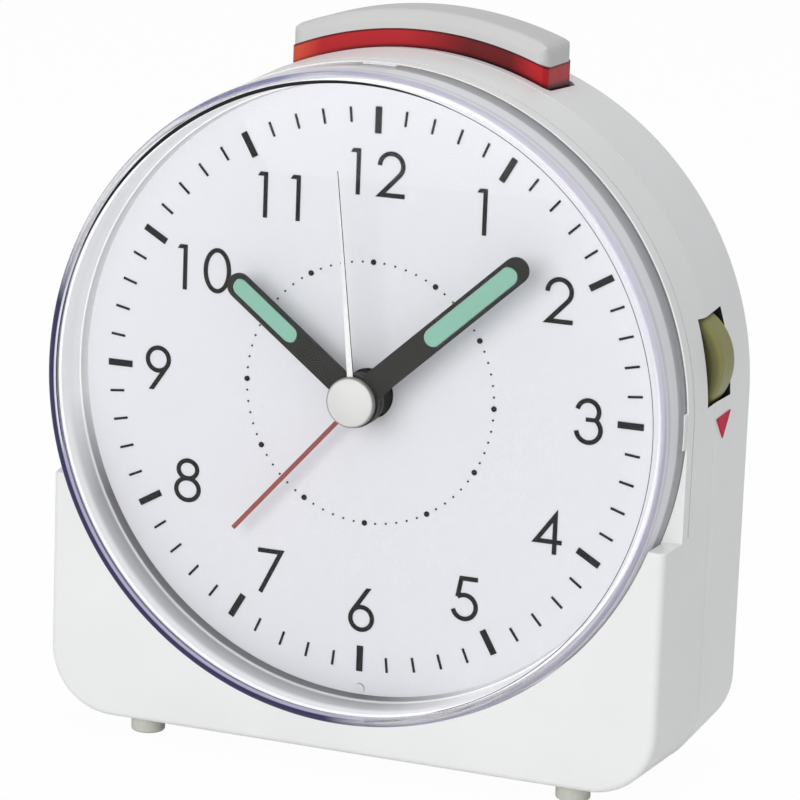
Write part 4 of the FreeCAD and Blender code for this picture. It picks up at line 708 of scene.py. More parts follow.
def silvered_ring():
    """Satin silver with painted light above, and painted shade as a grey wall and a dark foot towards the
    lower left. It lets shadow rays through, so it casts no shadow.
    """
    look = Finish("Silvered ring", (0.5, 0.5, 0.5), 0.42, 0.05)
    level = look.remap(look.axis("Y"), DIAL_Y - 6.5 * MM, DIAL_Y)
    uneven = look.waver(level, 160.0, 0.02)
    light = (0.97, 0.97, 0.98)
    above = look.ramp(uneven, [(0.1, light), (0.42, (0.93, 0.93, 0.94)), (0.55, light),
                               (0.735, light), (0.80, (0.66, 0.66, 0.67)), (1.0, (0.8, 0.8, 0.81))])
    below = look.ramp(uneven, [(0.06, light), (0.2, light), (0.36, (0.55, 0.55, 0.57)),
                               (0.70, (0.36, 0.36, 0.37)), (0.735, (0.6, 0.6, 0.61)),
                               (0.765, (0.6, 0.6, 0.61)), (0.80, (0.17, 0.17, 0.18)),
                               (1.0, (0.13, 0.13, 0.14))])
    # Painted light above, painted shade towards the lower left.
    share = look.remap(look.lean(-0.5, -0.866), 24 * MM, 34 * MM)
    look.paint(look.blend(share, above, below))
    look.texture((500.0, 3.0), 0.38, 0.48, (2200.0, 2.0), 0.000003, 0.4)
    look.clear_to(look.shader.outputs["BSDF"], "Is Shadow Ray")
    return look.material


def rim_painted_reflections(look, along, low, navy):
    """Painted reflections of the rim: stripes of light, lavender, grey and navy over a value that grows
    from its inner edge to its back.
    """
    light, lavender = RIM_PAINTED_LIGHT, RIM_PAINTED_LAVENDER
    right = look.ramp(along, [(0.18, light), (0.22, lavender), (0.33, lavender), (0.37, light),
                              (0.42, (0.55, 0.54, 0.62)), (0.50, light), (0.68, light),
                              (0.73, (0.32, 0.32, 0.34)), (0.91, (0.2, 0.2, 0.21)),
                              (0.96, (0.07, 0.07, 0.07))])
    upper = look.ramp(along, [(0.1, light), (0.14, (0.30, 0.30, 0.34)), (0.19, light),
                              (0.27, light), (0.31, (0.12, 0.12, 0.15)),
                              (0.36, (0.55, 0.55, 0.6)), (0.6, light)])
    patch = look.ramp(along, [(0.13, light), (0.17, (0.10, 0.10, 0.26)), (0.3, (0.12, 0.12, 0.3)),
                              (0.34, light)])
    left = look.ramp(along, [(0.33, navy), (0.37, (0.12, 0.12, 0.24)), (0.5, lavender)])
    left = look.blend(look.remap(along, 0.07, 0.10), look.blend(low, light, lavender), left)
    # Where the painted reflections change with the direction round the rim.
    top = look.remap(look.lean(-0.37, 0.93), 41.2 * MM, 42.2 * MM)
    crest = look.remap(look.lean(-0.64, 0.77), 34 * MM, 39 * MM)
    share = look.remap(look.lean(-0.79, -0.61), 17 * MM, 27 * MM)
    bands = look.blend(crest, right, look.blend(top, upper, patch))
    return share, look.blend(share, bands, left)


def rim_painted_dark_line(look, along, low):
    """Painted dark reflection line at the inner edge, widest at the upper left and missing below."""
    width = look.math("ADD", look.remap(look.lean(-1.0, 0.0), -10 * MM, 20 * MM, 0.014, 0.022),
                      look.remap(look.lean(-0.42, 0.906), 30 * MM, 41 * MM, 0.0, 0.07))
    inside = look.remap(look.math("SUBTRACT", along, width), 0.0, 0.012, 1.0, 0.0)
    return look.math("MULTIPLY", inside, look.math("SUBTRACT", 1.0, low))


def lens_rim(navy):
    """Edge of the lens: painted reflections in lavender, grey and navy, the navy towards its lower left,
    shown by a matt layer over the clear plastic.
    """
    look = clear_look("Clear lens edge", (0.96, 0.95, 1.0), 0.02, 0.01, 0.04, 0.5)
    along = look.math("ADD", look.remap(look.from_axis(), 41.4 * MM, 42.9 * MM, 0.0, 0.3),
                      look.remap(look.axis("Y"), DIAL_Y - 8.2 * MM, DIAL_Y, 0.0, 0.7))
    low = look.remap(look.lean(-0.47, -0.88), 27.2 * MM, 29 * MM)
    share, bands = rim_painted_reflections(look, along, low, navy)
    line = rim_painted_dark_line(look, along, low)
    # A matt layer that shows the painted reflection colours.
    painted_reflection_layer = look.node("ShaderNodeBsdfPrincipled")
    painted_reflection_layer.inputs["Roughness"].default_value = 0.45
    painted_reflection_layer.inputs["Specular IOR Level"].default_value = 0.1
    look.link(look.blend(line, bands, (0.012, 0.012, 0.014)), painted_reflection_layer.inputs["Base Color"])
    weight = look.math("MAXIMUM", look.remap(along, 0.12, 0.22, 0.05, 0.72),
                       look.math("MAXIMUM", look.math("MULTIPLY", share, 0.97), line))
    look.clear_to(look.mix(weight, look.shader.outputs["BSDF"], painted_reflection_layer.outputs["BSDF"]), *LAMP_LIGHT)
    return look.material


MOULDED = {
    "case": ("Housing plastic", 0.34, 0.000012, 2600.0, 0.02, 0.15),
    "snooze": ("Snooze bar plastic", 0.45, 0.000005, 2600.0, 0.02, 0.0, 0.3),
    "dial": ("Dial paint", 0.6, 0.000004, 3000.0, 0.006),
    "ink": ("Dial ink", 0.5, 0.000003, 3000.0, 0.1, 0.0, 0.12),
    "hand": ("Hand paint", 0.42, 0.000004, 2400.0, 0.12, 0.0, 0.12),
    "glow": ("Luminous filling", 0.6, 0.00001, 2400.0, 0.03, 0.0, 0.15),
    "alarm": ("Alarm hand paint", 0.45, 0.000004, 3000.0, 0.04, 0.0, 0.2),
    "mark": ("Red mark paint", 0.55, 0.000004, 2600.0, 0.04, 0.0, 0.1),
    "rubber": ("Foot rubber", 0.75, 0.00003, 1500.0, 0.06),
    "key": ("Key plastic", 0.4, 0.00001, 2200.0, 0.05),
    "hub": ("Hub plastic", 0.5, 0.000004, 2600.0, 0.1, 0.0, 0.02),
    "gear": ("Gear plastic", 0.45, 0.00001, 2000.0, 0.04),
    "case_inner": ("Movement plastic", 0.5, 0.00001, 2000.0, 0.06),
    "board": ("Board lacquer", 0.35, 0.00001, 1500.0, 0.15),
    # Dark plastic of the parts inside, also used as painted shade on the walls of the thumb wheel's
    # opening.
    "black": ("Black plastic", 0.4, 0.00001, 2000.0, 0.1),
    "cell": ("Cell sleeve", 0.3, 0.000004, 1500.0, 0.05),
    "magnet": ("Sintered magnet", 0.5, 0.00002, 1600.0, 0.15),
}
INNER_COLOURS = {
    "key": (0.16, 0.16, 0.165),
    "hub": (0.004, 0.004, 0.004),
    "gear": (0.70, 0.68, 0.58),
    "case_inner": (0.10, 0.10, 0.105),
    "board": (0.012, 0.10, 0.035),
    "black": (0.015, 0.015, 0.015),
    "cell": (0.22, 0.23, 0.25),
    "magnet": (0.04, 0.04, 0.042),
}


def make_materials():
    """All finishes, by a maker's plain names."""
    hue = colours()
    made = {
        "skirt": red_plastic("Red skirt plastic", tuple(hue.skirt)),
        "olive": olive_plastic(tuple(hue.olive)),
        "steel": metal("Plated steel", (0.62, 0.62, 0.62), 0.3),
        "copper": metal("Copper winding", (0.72, 0.30, 0.14), 0.35, (300.0, 300.0, 9000.0)),
        "lens": clear_plastic(),
        "cap": cap_metal(),
        "silver": needle_metal(),
        "ring": silvered_ring(),
        "rim": lens_rim(tuple(hue.lens_edge_painted_navy)),
    }
    for key, (name, roughness, *rest) in MOULDED.items():
        base = INNER_COLOURS.get(key) or tuple(getattr(hue, key))
        made[key] = moulded(name, base, roughness, *rest)
    return made


MATERIALS = {}


def material(name):
    if not MATERIALS:
        MATERIALS.update(make_materials())
    return MATERIALS[name]


# Case

BOSSES = ((27, 28), (-27, 28), (36, -40), (-36, -40))
BOSS_RADIUS = 3.0
QUARTERS = (0, 90, 180, 270)
HOLLOW = (41.5, 45.8, 7.0)
KEY_X = -19
KEYS = {"set": 2, "receive": -7, "reset": -16}
SLOT_ROOM = 0.45


def case_half(name, front, back, front_half, back_half):
    """A solid half of the case, from one level to the other, drafted at its sides and its top."""
    s = sizes()
    outline = horseshoe(front_half, s.case_floor, s.corner)
    item = extruded(name, [place(x, front, z) for x, z in outline], (0, (back - front) * MM, 0))
    grow = back_half / front_half
    centre = place(0, 0, 0)
    bpy.ops.transform.resize(value=(grow, 1, 1), center_override=centre)
    back_y = DIAL_Y + back * MM
    select_parts(item, "VERT", lambda p: p.y > back_y - 1e-5 and p.z > DIAL_Z)
    bpy.ops.transform.resize(value=(1, 1, grow), center_override=centre)
    tidy_faces()
    bpy.ops.object.mode_set(mode="OBJECT")
    return item


def at_level(level):
    """A test for points on a plane of one level."""
    y = DIAL_Y + level * MM
    return lambda p: abs(p.y - y) < 1e-6


def wheel_slot():
    """The tool for the opening of the thumb wheel."""
    s = sizes()
    return drum("wheel_slot", s.wheel_x, s.wheel_z, s.wheel_radius + SLOT_ROOM, 6.6, 16.5, 96)


def in_slot(p):
    """Whether a point lies on the inner faces of the thumb wheel's opening."""
    s = sizes()
    reach = math.hypot(p.x / MM - s.wheel_x, (p.z - DIAL_Z) / MM - s.wheel_z)
    return reach < s.wheel_radius + SLOT_ROOM + 0.02 and 6.5 < level_of(p) < 17.3 and p.x > 30 * MM


def side_line():
    """The tool for the fine line round the case behind the lens, down to the ledge."""
    line = slab("side_line", horseshoe(46, 50, 8), 1.8, 2.2)
    carve(line, slab("inside", horseshoe(43.32, 60, 8), 1, 3))
    carve(line, box("below", -50, 50, 1, 3, -62, -14.2))
    return line


class CLOCK_OT_front_case(bpy.types.Operator):
    """Front half of the case, with the block under the dial and the seat of the lens"""

    bl_idname = "clock.front_case"
    bl_label = "Front case"

    def execute(self, context):
        s = sizes()
        front, seam = -s.block_front, SEAM / MM
        item = case_half("front_case", front, seam, s.block_half, s.case_half)
        round_edges(item, 0.9, 5, at_level(front))
        round_edges(item, 0.14, 1, at_level(seam))
        carve(item, box("upper_room", -60, 60, front - 5, 0, -s.ledge, 70))
        carve(item, lathe("lens_seat", [(0, front - 1), (43.25, front - 1), (43.5, 0), (0, 0)], 144))
        carve(item, drum("dial_bore", 0, 0, 42.5, -1, 0.8, 144))
        carve(item, drum("dial_opening", 0, 0, 36.5, 0, 3, 96))
        carve(item, slab("front_hollow", horseshoe(*HOLLOW), 2.2, seam + 2))
        carve(item, side_line())
        carve(item, wheel_slot())
        for x, z in BOSSES:
            carve(item, drum("boss", x, z, BOSS_RADIUS, 1.9, seam, 32), "UNION")
        for x, z in BOSSES:
            carve(item, drum("boss_hole", x, z, 1.23, 3.5, seam + 2, 24))
        for angle in QUARTERS:
            corners = [(-2.25, 42.45), (2.25, 42.45), (2.25, 43.2), (-2.25, 43.2)]
            carve(item, slab("lug", clockwise(corners, angle), -1.2, 0.3), "UNION")
        ledge_z = DIAL_Z - s.ledge * MM
        round_edges(item, 0.35, 3, lambda p: abs(p.z - ledge_z) < 1e-5 and p.y < DIAL_Y - 1e-5)
        finish(item, material("case"), "case", ["front_housing"])
        # Painted shade: the walls of the thumb wheel's opening get the dark plastic.
        second_finish(item, material("black"), in_slot)
        return {"FINISHED"}


class CLOCK_OT_rear_case(bpy.types.Operator):
    """Rear half of the case, with its openings"""

    bl_idname = "clock.rear_case"
    bl_label = "Rear case"

    def execute(self, context):
        s = sizes()
        seam = SEAM / MM
        inner = s.rear - 1.8
        item = case_half("rear_case", seam, s.rear, s.case_half, s.rear_half)
        round_edges(item, 3.5, 10, at_level(s.rear))
        round_edges(item, 0.14, 1, at_level(seam))
        carve(item, slab("rear_hollow", horseshoe(*HOLLOW), seam - 2, inner))
        carve(item, wheel_slot())
        for x, z in BOSSES:
            carve(item, drum("boss", x, z, BOSS_RADIUS, seam, inner + 0.3, 32), "UNION")
        carve(item, drum("axle_boss", s.wheel_x, s.wheel_z, 2.4, 16.2, inner + 0.3, 32), "UNION")
        carve(item, box("bay", -30, 30, 10.8, inner + 0.3, -45.9, -24.2), "UNION")
        for z in (15, -15):
            carve(item, box("cradle", -34.5, -28.5, 11, inner + 0.3, z - 2, z + 2), "UNION")
        carve(item, box("shelf", -20, 20, 12, inner + 0.3, 30.5, 32.0), "UNION")
        for x, z in BOSSES:
            carve(item, drum("screw_hole", x, z, 1.4, seam - 2, 30, 24))
            carve(item, drum("screw_well", x, z, 2.5, 22, 31, 40))
        carve(item, box("bay_room", -28.2, 28.2, 12.3, 31, -43.7, -27.1))
        carve(item, box("doorway", -28.2, 28.2, inner, 31, -44.2, -25.7))
        opening = rounded([(-18.6, 11.5), (18.6, 11.5), (18.6, 22.6), (-18.6, 22.6)], [1.2] * 4, 6)
        carve(item, upright("snooze_opening", opening, 32, 60))
        for z in KEYS.values():
            carve(item, drum("key_hole", KEY_X, z, 2.7, 25, 31, 48))
        carve(item, box("slider_track", 15, 23, 25, 31, -7.2, -4.8))
        carve(item, box("slider_recess", 13.5, 24.5, 28.5, 31, -9.0, -3.0))
        for x, z in [(0, 12)] + arc((0, 12), 4, 0, 300, 5):
            carve(item, drum("sound_hole", x, z, 0.8, 25, 31, 24))
        finish(item, material("case"), "case", ["rear_housing"])
        # Painted shade: the walls of the thumb wheel's opening get the dark plastic.
        second_finish(item, material("black"), in_slot)
        return {"FINISHED"}


# Lens, ring, dial

class CLOCK_OT_lens(bpy.types.Operator):
    """Clear lens cap"""

    bl_idname = "clock.lens"
    bl_label = "Lens"

    def execute(self, context):
        front = -sizes().lens_front
        profile = rounded(
            [(0, front), (41.4, front), (42.95, front), (43.2, 0), (42.05, 0),
             (42.05, front + 1.5), (0, front + 1.5)],
            [0, 0, 1.1, 0.12, 0.12, 0.5, 0], 8)
        item = lathe("lens_cap", profile, 240)
        for angle in QUARTERS:
            corners = clockwise([(-2.4, 41.0), (2.4, 41.0), (2.4, 44), (-2.4, 44)], angle)
            carve(item, slab("notch", corners, -1.35, 1))
        finish(item, material("lens"), "case", ["lens"], weighted=False)

        def on_rim(p):
            return away(p) > 42.4 or (away(p) > 41.3 and level_of(p) < front + 0.7)

        second_finish(item, material("rim"), on_rim)
        return {"FINISHED"}


class CLOCK_OT_ring(bpy.types.Operator):
    """Silvered ring between the lens and the dial"""

    bl_idname = "clock.ring"
    bl_label = "Reflector ring"

    def execute(self, context):
        profile = rounded(
            [(41.0, 0), (41.2, -1.65), (41.4, -1.65), (41.5, -6.4), (41.95, -6.4), (41.95, 0)],
            [0, 0.05, 0.05, 0.06, 0.04, 0], 3)
        item = lathe("silver_ring", profile + profile[:1], 240)
        finish(item, material("ring"), "case", ["reflector_ring"], weighted=False)
        return {"FINISHED"}


class CLOCK_OT_dial(bpy.types.Operator):
    """Dial plate with its raised marks and the clear pip at its bottom"""

    bl_idname = "clock.dial"
    bl_label = "Dial"

    def execute(self, context):
        plate = lathe("dial_face", [(3.4, 0), (42.3, 0), (42.3, 0.8), (3.4, 0.8), (3.4, 0)], 144)
        finish(plate, material("dial"), "case", ["dial_plate"])
        hour = [(-0.44, 34.33), (0.44, 34.33), (0.44, 37.83), (-0.44, 37.83)]
        tick = [(-0.155, 35.7), (0.155, 35.7), (0.155, 37.7), (-0.155, 37.7)]
        rows = [
            (slab("hour_mark", hour, -0.12, 0), [30 * step for step in range(12)]),
            (slab("minute_mark", tick, -0.12, 0), [6 * step for step in range(60) if step % 5]),
            (drum("large_dot", 0, 17.47, 0.37, -0.12, 0, 20), [30 * step for step in range(12)]),
            (drum("small_dot", 0, 17.47, 0.13, -0.12, 0, 12),
             [5 * step for step in range(72) if step % 6]),
        ]
        marks = []
        for mark, angles in rows:
            marks += [copy_of(mark, "mark", turn=angle) for angle in angles]
            bpy.data.objects.remove(mark)
        item = join(marks, "dial_print")
        finish(item, material("ink"), "case", ["dial_marks"], weighted=False)
        dome = rounded([(0, -0.5), (0.74, -0.5), (0.74, 0), (0, 0)], [0, 0.42, 0, 0], 6)
        pip = lathe("dial_pip", dome, 32, (0.12, -40.22))
        finish(pip, material("lens"), "case", weighted=False)
        return {"FINISHED"}


# Figures of the dial

STROKE = 0.6


def ribbon(points, width=STROKE):
    """Outline of a stroke of even width along a line of (x, z) points, with mitred corners."""
    left, right = [], []
    count = len(points)
    for i in range(count):
        here = Vector(points[i])
        ways = []
        if i > 0:
            ways.append((here - Vector(points[i - 1])).normalized())
        if i < count - 1:
            ways.append((Vector(points[i + 1]) - here).normalized())
        along = (ways[0] + ways[-1]).normalized()
        reach = width / 2 / along.dot(ways[0])
        across = Vector((-along.y, along.x)) * reach
        left.append(tuple(here + across))
        right.append(tuple(here - across))
    return left + right[::-1]


def oval(middle, wide, tall, count=40):
    """Points on an ellipse, from its half width and half height."""
    return [(middle[0] + wide * math.cos(2 * math.pi * i / count),
             middle[1] + tall * math.sin(2 * math.pi * i / count)) for i in range(count)]


def figures():
    """Strokes and rings (middle, half width, half height) of each figure, from its lower left."""
    return {
        "1": ([[(0.85, 0), (1.42, 0), (1.42, 6.05), (0.36, 6.05), (0, 5.5), (0.85, 5.5)]], []),
        "2": ([ribbon(arc((2.03, 4.12), 1.63, 180, -43.9, 22) + [(0.62, 0.3), (3.97, 0.3)])], []),
        "3": ([ribbon(arc((1.88, 4.28), 1.47, 169.5, -48, 20)),
               ribbon(arc((2.0, 1.9), 1.65, 58, -172, 22)),
               ribbon([(2.87, 3.25), (1.6, 3.25)], 0.55)], []),
        "4": ([ribbon([(3.2, 5.25), (0.565, 1.66), (4.12, 1.66)]),
               [(2.83, 0), (3.43, 0), (3.43, 6.05), (2.83, 5.23)]], []),
        "5": ([ribbon([(3.72, 5.77), (1.42, 5.77), (0.96, 3.22)]),
               ribbon(arc((1.95, 1.92), 1.62, 127, -164.6, 26))], []),
        "6": ([[(0.336, 2.884), (0.834, 2.548), (3.19, 6.05), (2.47, 6.05)]],
              [((1.87, 1.85), 1.55, 1.55)]),
        "7": ([ribbon([(0, 5.77), (3.35, 5.77), (0.48, 0)])], []),
        "8": ([], [((2.0, 1.8), 1.66, 1.5), ((2.0, 4.52), 1.37, 1.22)]),
        "0": ([], [((1.97, 3.05), 1.69, 2.75)]),
    }


FIGURE_PLACES = (
    ("1", -3.70, 26.12, 0), ("2", 0.0, 26.12, 0), ("1", 13.955, 22.5, 0), ("2", 23.65, 12.16, 0),
    ("3", 28.42, -3.1, 0), ("4", 23.43, -18.23, 0), ("5", 12.55, -28.86, 0),
    ("6", -1.86, -32.4, 0), ("7", -15.17, -28.9, 0), ("8", -27.77, -17.99, 0),
    ("6", -32.39, -3.08, 180), ("1", -28.02, 11.0, 0), ("0", -24.17, 10.95, 0),
    ("1", -16.705, 21.8, 0), ("1", -12.04, 21.8, 0),
)


class CLOCK_OT_figures(bpy.types.Operator):
    """Figures 1 to 12 printed on the dial"""

    bl_idname = "clock.figures"
    bl_label = "Dial figures"

    def execute(self, context):
        printed = []
        for name, (strokes, rings) in figures().items():
            parts = [slab("stroke", outline, -0.1, 0) for outline in strokes]
            for middle, wide, tall in rings:
                loop = slab("loop", oval(middle, wide + STROKE / 2, tall + STROKE / 2), -0.1, 0)
                carve(loop, slab("eye", oval(middle, wide - STROKE / 2, tall - STROKE / 2), -1, 1))
                parts.append(loop)
            for part in parts[1:]:
                carve(parts[0], part, "UNION")
            for figure, x, z, turn in FIGURE_PLACES:
                if figure == name:
                    printed.append(copy_of(parts[0], "figure", turn, (1.875, 3.025), (x, z)))
            bpy.data.objects.remove(parts[0])
        item = join(printed, "dial_figures")
        finish(item, material("ink"), "case", weighted=False)
        return {"FINISHED"}


# Hands

def capsule(width, low, high, steps=16):
    """Outline of an upright bar with two round ends."""
    r = width / 2
    return arc((0, high - r), r, 0, 180, steps) + arc((0, low + r), r, 180, 360, steps)


def broad_hand(name, angle, hub, level, reach, lume, body, node):
    """One of the two broad hands, with its hub and its luminous bar."""
    width = 3.5
    front, back = -level - 0.2, -level + 0.2
    blade = slab(name, clockwise(capsule(width, -width / 2, reach), angle), front, back)
    low, high, lume_width = lume
    opening = slab("opening", clockwise(capsule(lume_width + 0.1, low - 0.05, high + 0.05), angle),
                   front - 1, back + 1)
    carve(blade, opening)
    hub_front, hub_back, bore = hub
    disc = lathe("disc", rounded([(0, -hub_front), (3.5, -hub_front), (3.5, -hub_back),
                                  (0, -hub_back)], [0, 0.12, 0.12, 0], 3), 64)
    carve(blade, disc, "UNION")
    carve(blade, drum("bore", 0, 0, bore, -12, 4, 48))
    soften(blade, 0.07, 2)
    finish(blade, material("hand"), body, [node])
    bar = slab(name + "_lume", clockwise(capsule(lume_width, low, high), angle),
               -level - 0.15, -level + 0.15)
    soften(bar, 0.08, 3)
    finish(bar, material("glow"), body, [node.replace("hand", "lume")])


def needle(name, angle, front, back, start, reach, root, tip):
    outline = [(-root / 2, start), (root / 2, start), (tip / 2, reach), (-tip / 2, reach)]
    return slab(name, clockwise(outline, angle), -front, -back)


class CLOCK_OT_broad_hands(bpy.types.Operator):
    """Hour and minute hand with their luminous bars"""

    bl_idname = "clock.broad_hands"
    bl_label = "Broad hands"

    def execute(self, context):
        s = sizes()
        broad_hand("hour_blade", s.hour_angle, (4.4, 3.3, 2.22), 4.0, 23.3,
                   (11.3, 22.4, 2.2), "hour_assembly", "hour_hand")
        broad_hand("minute_blade", s.minute_angle, (5.5, 4.6, 1.22), 5.1, 30.6,
                   (13.0, 28.8, 2.4), "minute_assembly", "minute_hand")
        return {"FINISHED"}


class CLOCK_OT_thin_hands(bpy.types.Operator):
    """Second hand, alarm hand and the cap over the centre"""

    bl_idname = "clock.thin_hands"
    bl_label = "Thin hands"

    def execute(self, context):
        s = sizes()
        second = needle("second_needle", s.second_angle, 5.95, 5.7, 0.9, 30.0, 0.9, 0.18)
        hub = lathe("hub", [(0.52, -5.95), (1.6, -5.95), (1.6, -5.7), (0.52, -5.7), (0.52, -5.95)],
                    48)
        carve(second, hub, "UNION")
        soften(second, 0.04, 2)
        finish(second, material("silver"), "second_assembly", ["second_hand"])
        turn = math.radians(s.second_angle)

        # Painted shade: faces on the hand's right, its right side wall, get the dark hand paint.
        def painted_shade_side(p):
            return p.x * math.cos(turn) - (p.z - DIAL_Z) * math.sin(turn) > 0.03 * MM

        second_finish(second, material("hand"), painted_shade_side)
        alarm = needle("alarm_needle", s.alarm_angle, 2.9, 2.6, 2.8, 26.5, 0.6, 0.6)
        hub = lathe("hub", [(2.47, -3.0), (3.3, -3.0), (3.3, -2.5), (2.47, -2.5), (2.47, -3.0)],
                    64)
        carve(alarm, hub, "UNION")
        soften(alarm, 0.05, 2)
        finish(alarm, material("alarm"), "alarm_assembly", ["alarm_hand"])
        second_finish(alarm, material("hub"), lambda p: away(p) < 3.4)
        profile = rounded([(0, -6.7), (3.33, -6.7), (3.33, -5.95), (0.52, -5.95), (0.52, -6.35),
                           (0, -6.35)], [0, 0.35, 0.08, 0, 0, 0], 5)
        cap = lathe("hub_cap", profile, 96)
        finish(cap, material("cap"), "second_assembly", ["centre_cap"])
        return {"FINISHED"}


# Snooze bar

def band(half, inner, outer, steps=48):
    """Outline between two arcs about the dial's axis, cut off at both sides."""
    points = []
    for radius, sign in ((outer, 1), (inner, -1)):
        reach = math.degrees(math.asin(half / radius))
        points += arc((0, 0), radius, 90 - sign * reach, 90 + sign * reach, steps)
    return points


def curved_block(name, inner, outer, plan):
    """The part of a bent strip that stands over a rounded plan."""
    item = slab(name, band(24, inner, outer, 64), 8, 26)
    carve(item, plan, "INTERSECT")
    return item


def bar_plan(corner):
    """The upright prism of the snooze bar, with its rounded corners."""
    corners = [(-18.0, 12.1), (18.0, 12.1), (18.0, 22.0), (-18.0, 22.0)]
    return upright("bar_plan", rounded(corners, [corner] * 4, 5), 30, 60)


class CLOCK_OT_snooze(bpy.types.Operator):
    """Snooze and light bar with its red skirt"""

    bl_idname = "clock.snooze"
    bl_label = "Snooze bar"

    def execute(self, context):
        inner, crown, half = 46.3, 48.8, 18.0
        profile = rounded([(inner, 12.1), (crown, 12.1), (crown, 22.0), (inner, 22.0)],
                          [0, 1.7, 1.7, 0], 8)
        cap = lathe("snooze_cap", profile + profile[:1], 360)
        end = math.degrees(math.acos(half / crown))
        top = math.sin(math.radians(end)) * crown
        outline = [(half, 38), (half, top)]
        outline += arc((0, 0), crown + 0.01, end + 2.0, 178.0 - end, 60)
        outline += [(-half, top), (-half, 38)]
        soft = rounded(outline, [0, 1.8] + [0] * 61 + [1.8, 0], 8)
        carve(cap, slab("rounded_ends", soft, 8, 26), "INTERSECT")
        carve(cap, bar_plan(1.6), "INTERSECT")
        finish(cap, material("snooze"), "snooze_bar", ["snooze_button"])
        skirt = curved_block("red_skirt", 39.6, inner, bar_plan(1.0))
        flange = slab("flange", band(19.3, 39.6, 41.0), 11.0, 23.1)
        carve(skirt, flange, "UNION")
        finish(skirt, material("skirt"), "snooze_bar", ["snooze_skirt"])
        return {"FINISHED"}


# Thumb wheel and feet

class CLOCK_OT_wheel(bpy.types.Operator):
    """Thumb wheel in the right wall"""

    bl_idname = "clock.wheel"
    bl_label = "Thumb wheel"

    def execute(self, context):
        s = sizes()
        profile = rounded(
            [(1.06, 2.8), (2.4, 2.8), (2.4, 8.2), (s.wheel_radius, 8.2), (s.wheel_radius, 15.7),
             (1.9, 15.7), (1.9, 16.0), (1.06, 16.0)],
            [0, 0, 0, 1.4, 2.2, 0, 0, 0], 8)
        item = lathe("olive_wheel", profile + profile[:1], 120, (s.wheel_x, s.wheel_z))
        finish(item, material("olive"), "alarm_knob", ["alarm_thumb_wheel"])
        return {"FINISHED"}


class CLOCK_OT_feet(bpy.types.Operator):
    """Four rubber feet"""

    bl_idname = "clock.feet"
    bl_label = "Feet"

    def execute(self, context):
        for side in ("front_left", "front_right", "rear_left", "rear_right"):
            low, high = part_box("foot_" + side)
            middle = (low + high) / 2
            leave_all()
            bpy.ops.mesh.primitive_cylinder_add(
                vertices=48, radius=(high.x - low.x) / 2, depth=high.z - low.z, location=middle)
            item = bpy.context.object
            item.name = "rubber_foot_" + side
            settle()
            round_edges(item, 0.35, 4, lambda p: p.z < low.z + 1e-6)
            finish(item, material("rubber"), "case", ["foot_" + side])
        return {"FINISHED"}


# Rear wall

class CLOCK_OT_rear_controls(bpy.types.Operator):
    """Keys, alarm slider, screws and battery door in the rear wall"""

    bl_idname = "clock.rear_controls"
    bl_label = "Rear controls"

    def execute(self, context):
        profile = rounded(
            [(0, 22.4), (1.2, 22.4), (1.2, 26.6), (3.2, 26.6), (3.2, 27.5), (2.5, 27.5),
             (2.5, 29.3), (1.6, 29.3), (0, 29.0)],
            [0, 0.1, 0, 0.1, 0.1, 0, 0.3, 0.3, 0], 4)
        key = lathe("key", profile, 64, (KEY_X, 0))
        for name, z in KEYS.items():
            item = copy_of(key, name + "_key", move=(0, z))
            finish(item, material("key"), name + "_key", [name + "_button"])
        bpy.data.objects.remove(key)

        slider = box("slider_grip", 15.2, 18.8, 28.55, 29.4, -8.3, -3.7)
        for x in (16.1, 17.0, 17.9):
            carve(slider, box("rib", x - 0.2, x + 0.2, 29.15, 30, -9, -3))
        soften(slider, 0.1, 2)
        carve(slider, box("stem", 15.2, 18.8, 27.1, 28.6, -7.0, -5.0), "UNION")
        carve(slider, box("plate", 13.0, 21.0, 26.6, 27.6, -8.5, -3.5), "UNION")
        finish(slider, material("key"), "alarm_slider", ["alarm_switch"])

        profile = rounded([(0, 4), (1.2, 4), (1.2, 22), (2.2, 22), (2.2, 24), (0, 24)],
                          [0, 0.3, 0, 0.1, 0.6, 0], 4)
        screw = lathe("screw", profile, 48)
        for across, tall in ((1.4, 0.3), (0.3, 1.4)):
            carve(screw, box("groove", -across, across, 23.2, 25, -tall, tall))
        screws = [copy_of(screw, "screw", 20 * i, move=spot) for i, spot in enumerate(BOSSES)]
        bpy.data.objects.remove(screw)
        item = join(screws, "screw_set")
        finish(item, material("steel"), "case", ["case_screws"])

        profile = arc((28.6, -43.1), 0.9, 180, 360, 16) + [(29.5, -25.9), (27.7, -25.9)]
        door = sideways("door_leaf", profile, -28.0, 28.0)
        carve(door, box("grip_recess", -7, 7, 28.8, 30, -30.9, -27.9))
        for z in (-30.15, -29.4, -28.65):
            carve(door, box("rib", -6.4, 6.4, 28.7, 29.25, z - 0.16, z + 0.16), "UNION")
        soften(door, 0.09, 2, 50)
        carve(door, rod("door_pins", -29.1, 29.1, 28.6, -43.1, 0.5), "UNION")
        finish(door, material("case"), "door", ["battery_door"])
        return {"FINISHED"}


# Finishes of the pieces inside

INNER = {
    "gear": ["motion_wheel", "hour_wheel", "minute_wheel", "second_wheel", "alarm_idler",
             "minute_reduction_wheel", "second_reduction_wheel"],
    "hub": ["alarm_wheel"],
    "case_inner": ["movement_front_case", "movement_rear_case"],
    "board": ["circuit_board"],
    "black": ["controller_chip", "snooze_switch", "button_switches", "buzzer"],
    "steel": ["snooze_spring_left", "snooze_spring_right", "contact_positive",
              "contact_negative", "quartz_crystal", "thumb_wheel_axle", "minute_stator",
              "second_stator"],
    "magnet": ["minute_rotor", "second_rotor", "ferrite_rod"],
    "copper": ["minute_coil", "second_coil", "antenna_coil"],
    "cell": ["battery"],
    "mark": ["direction_mark"],
}


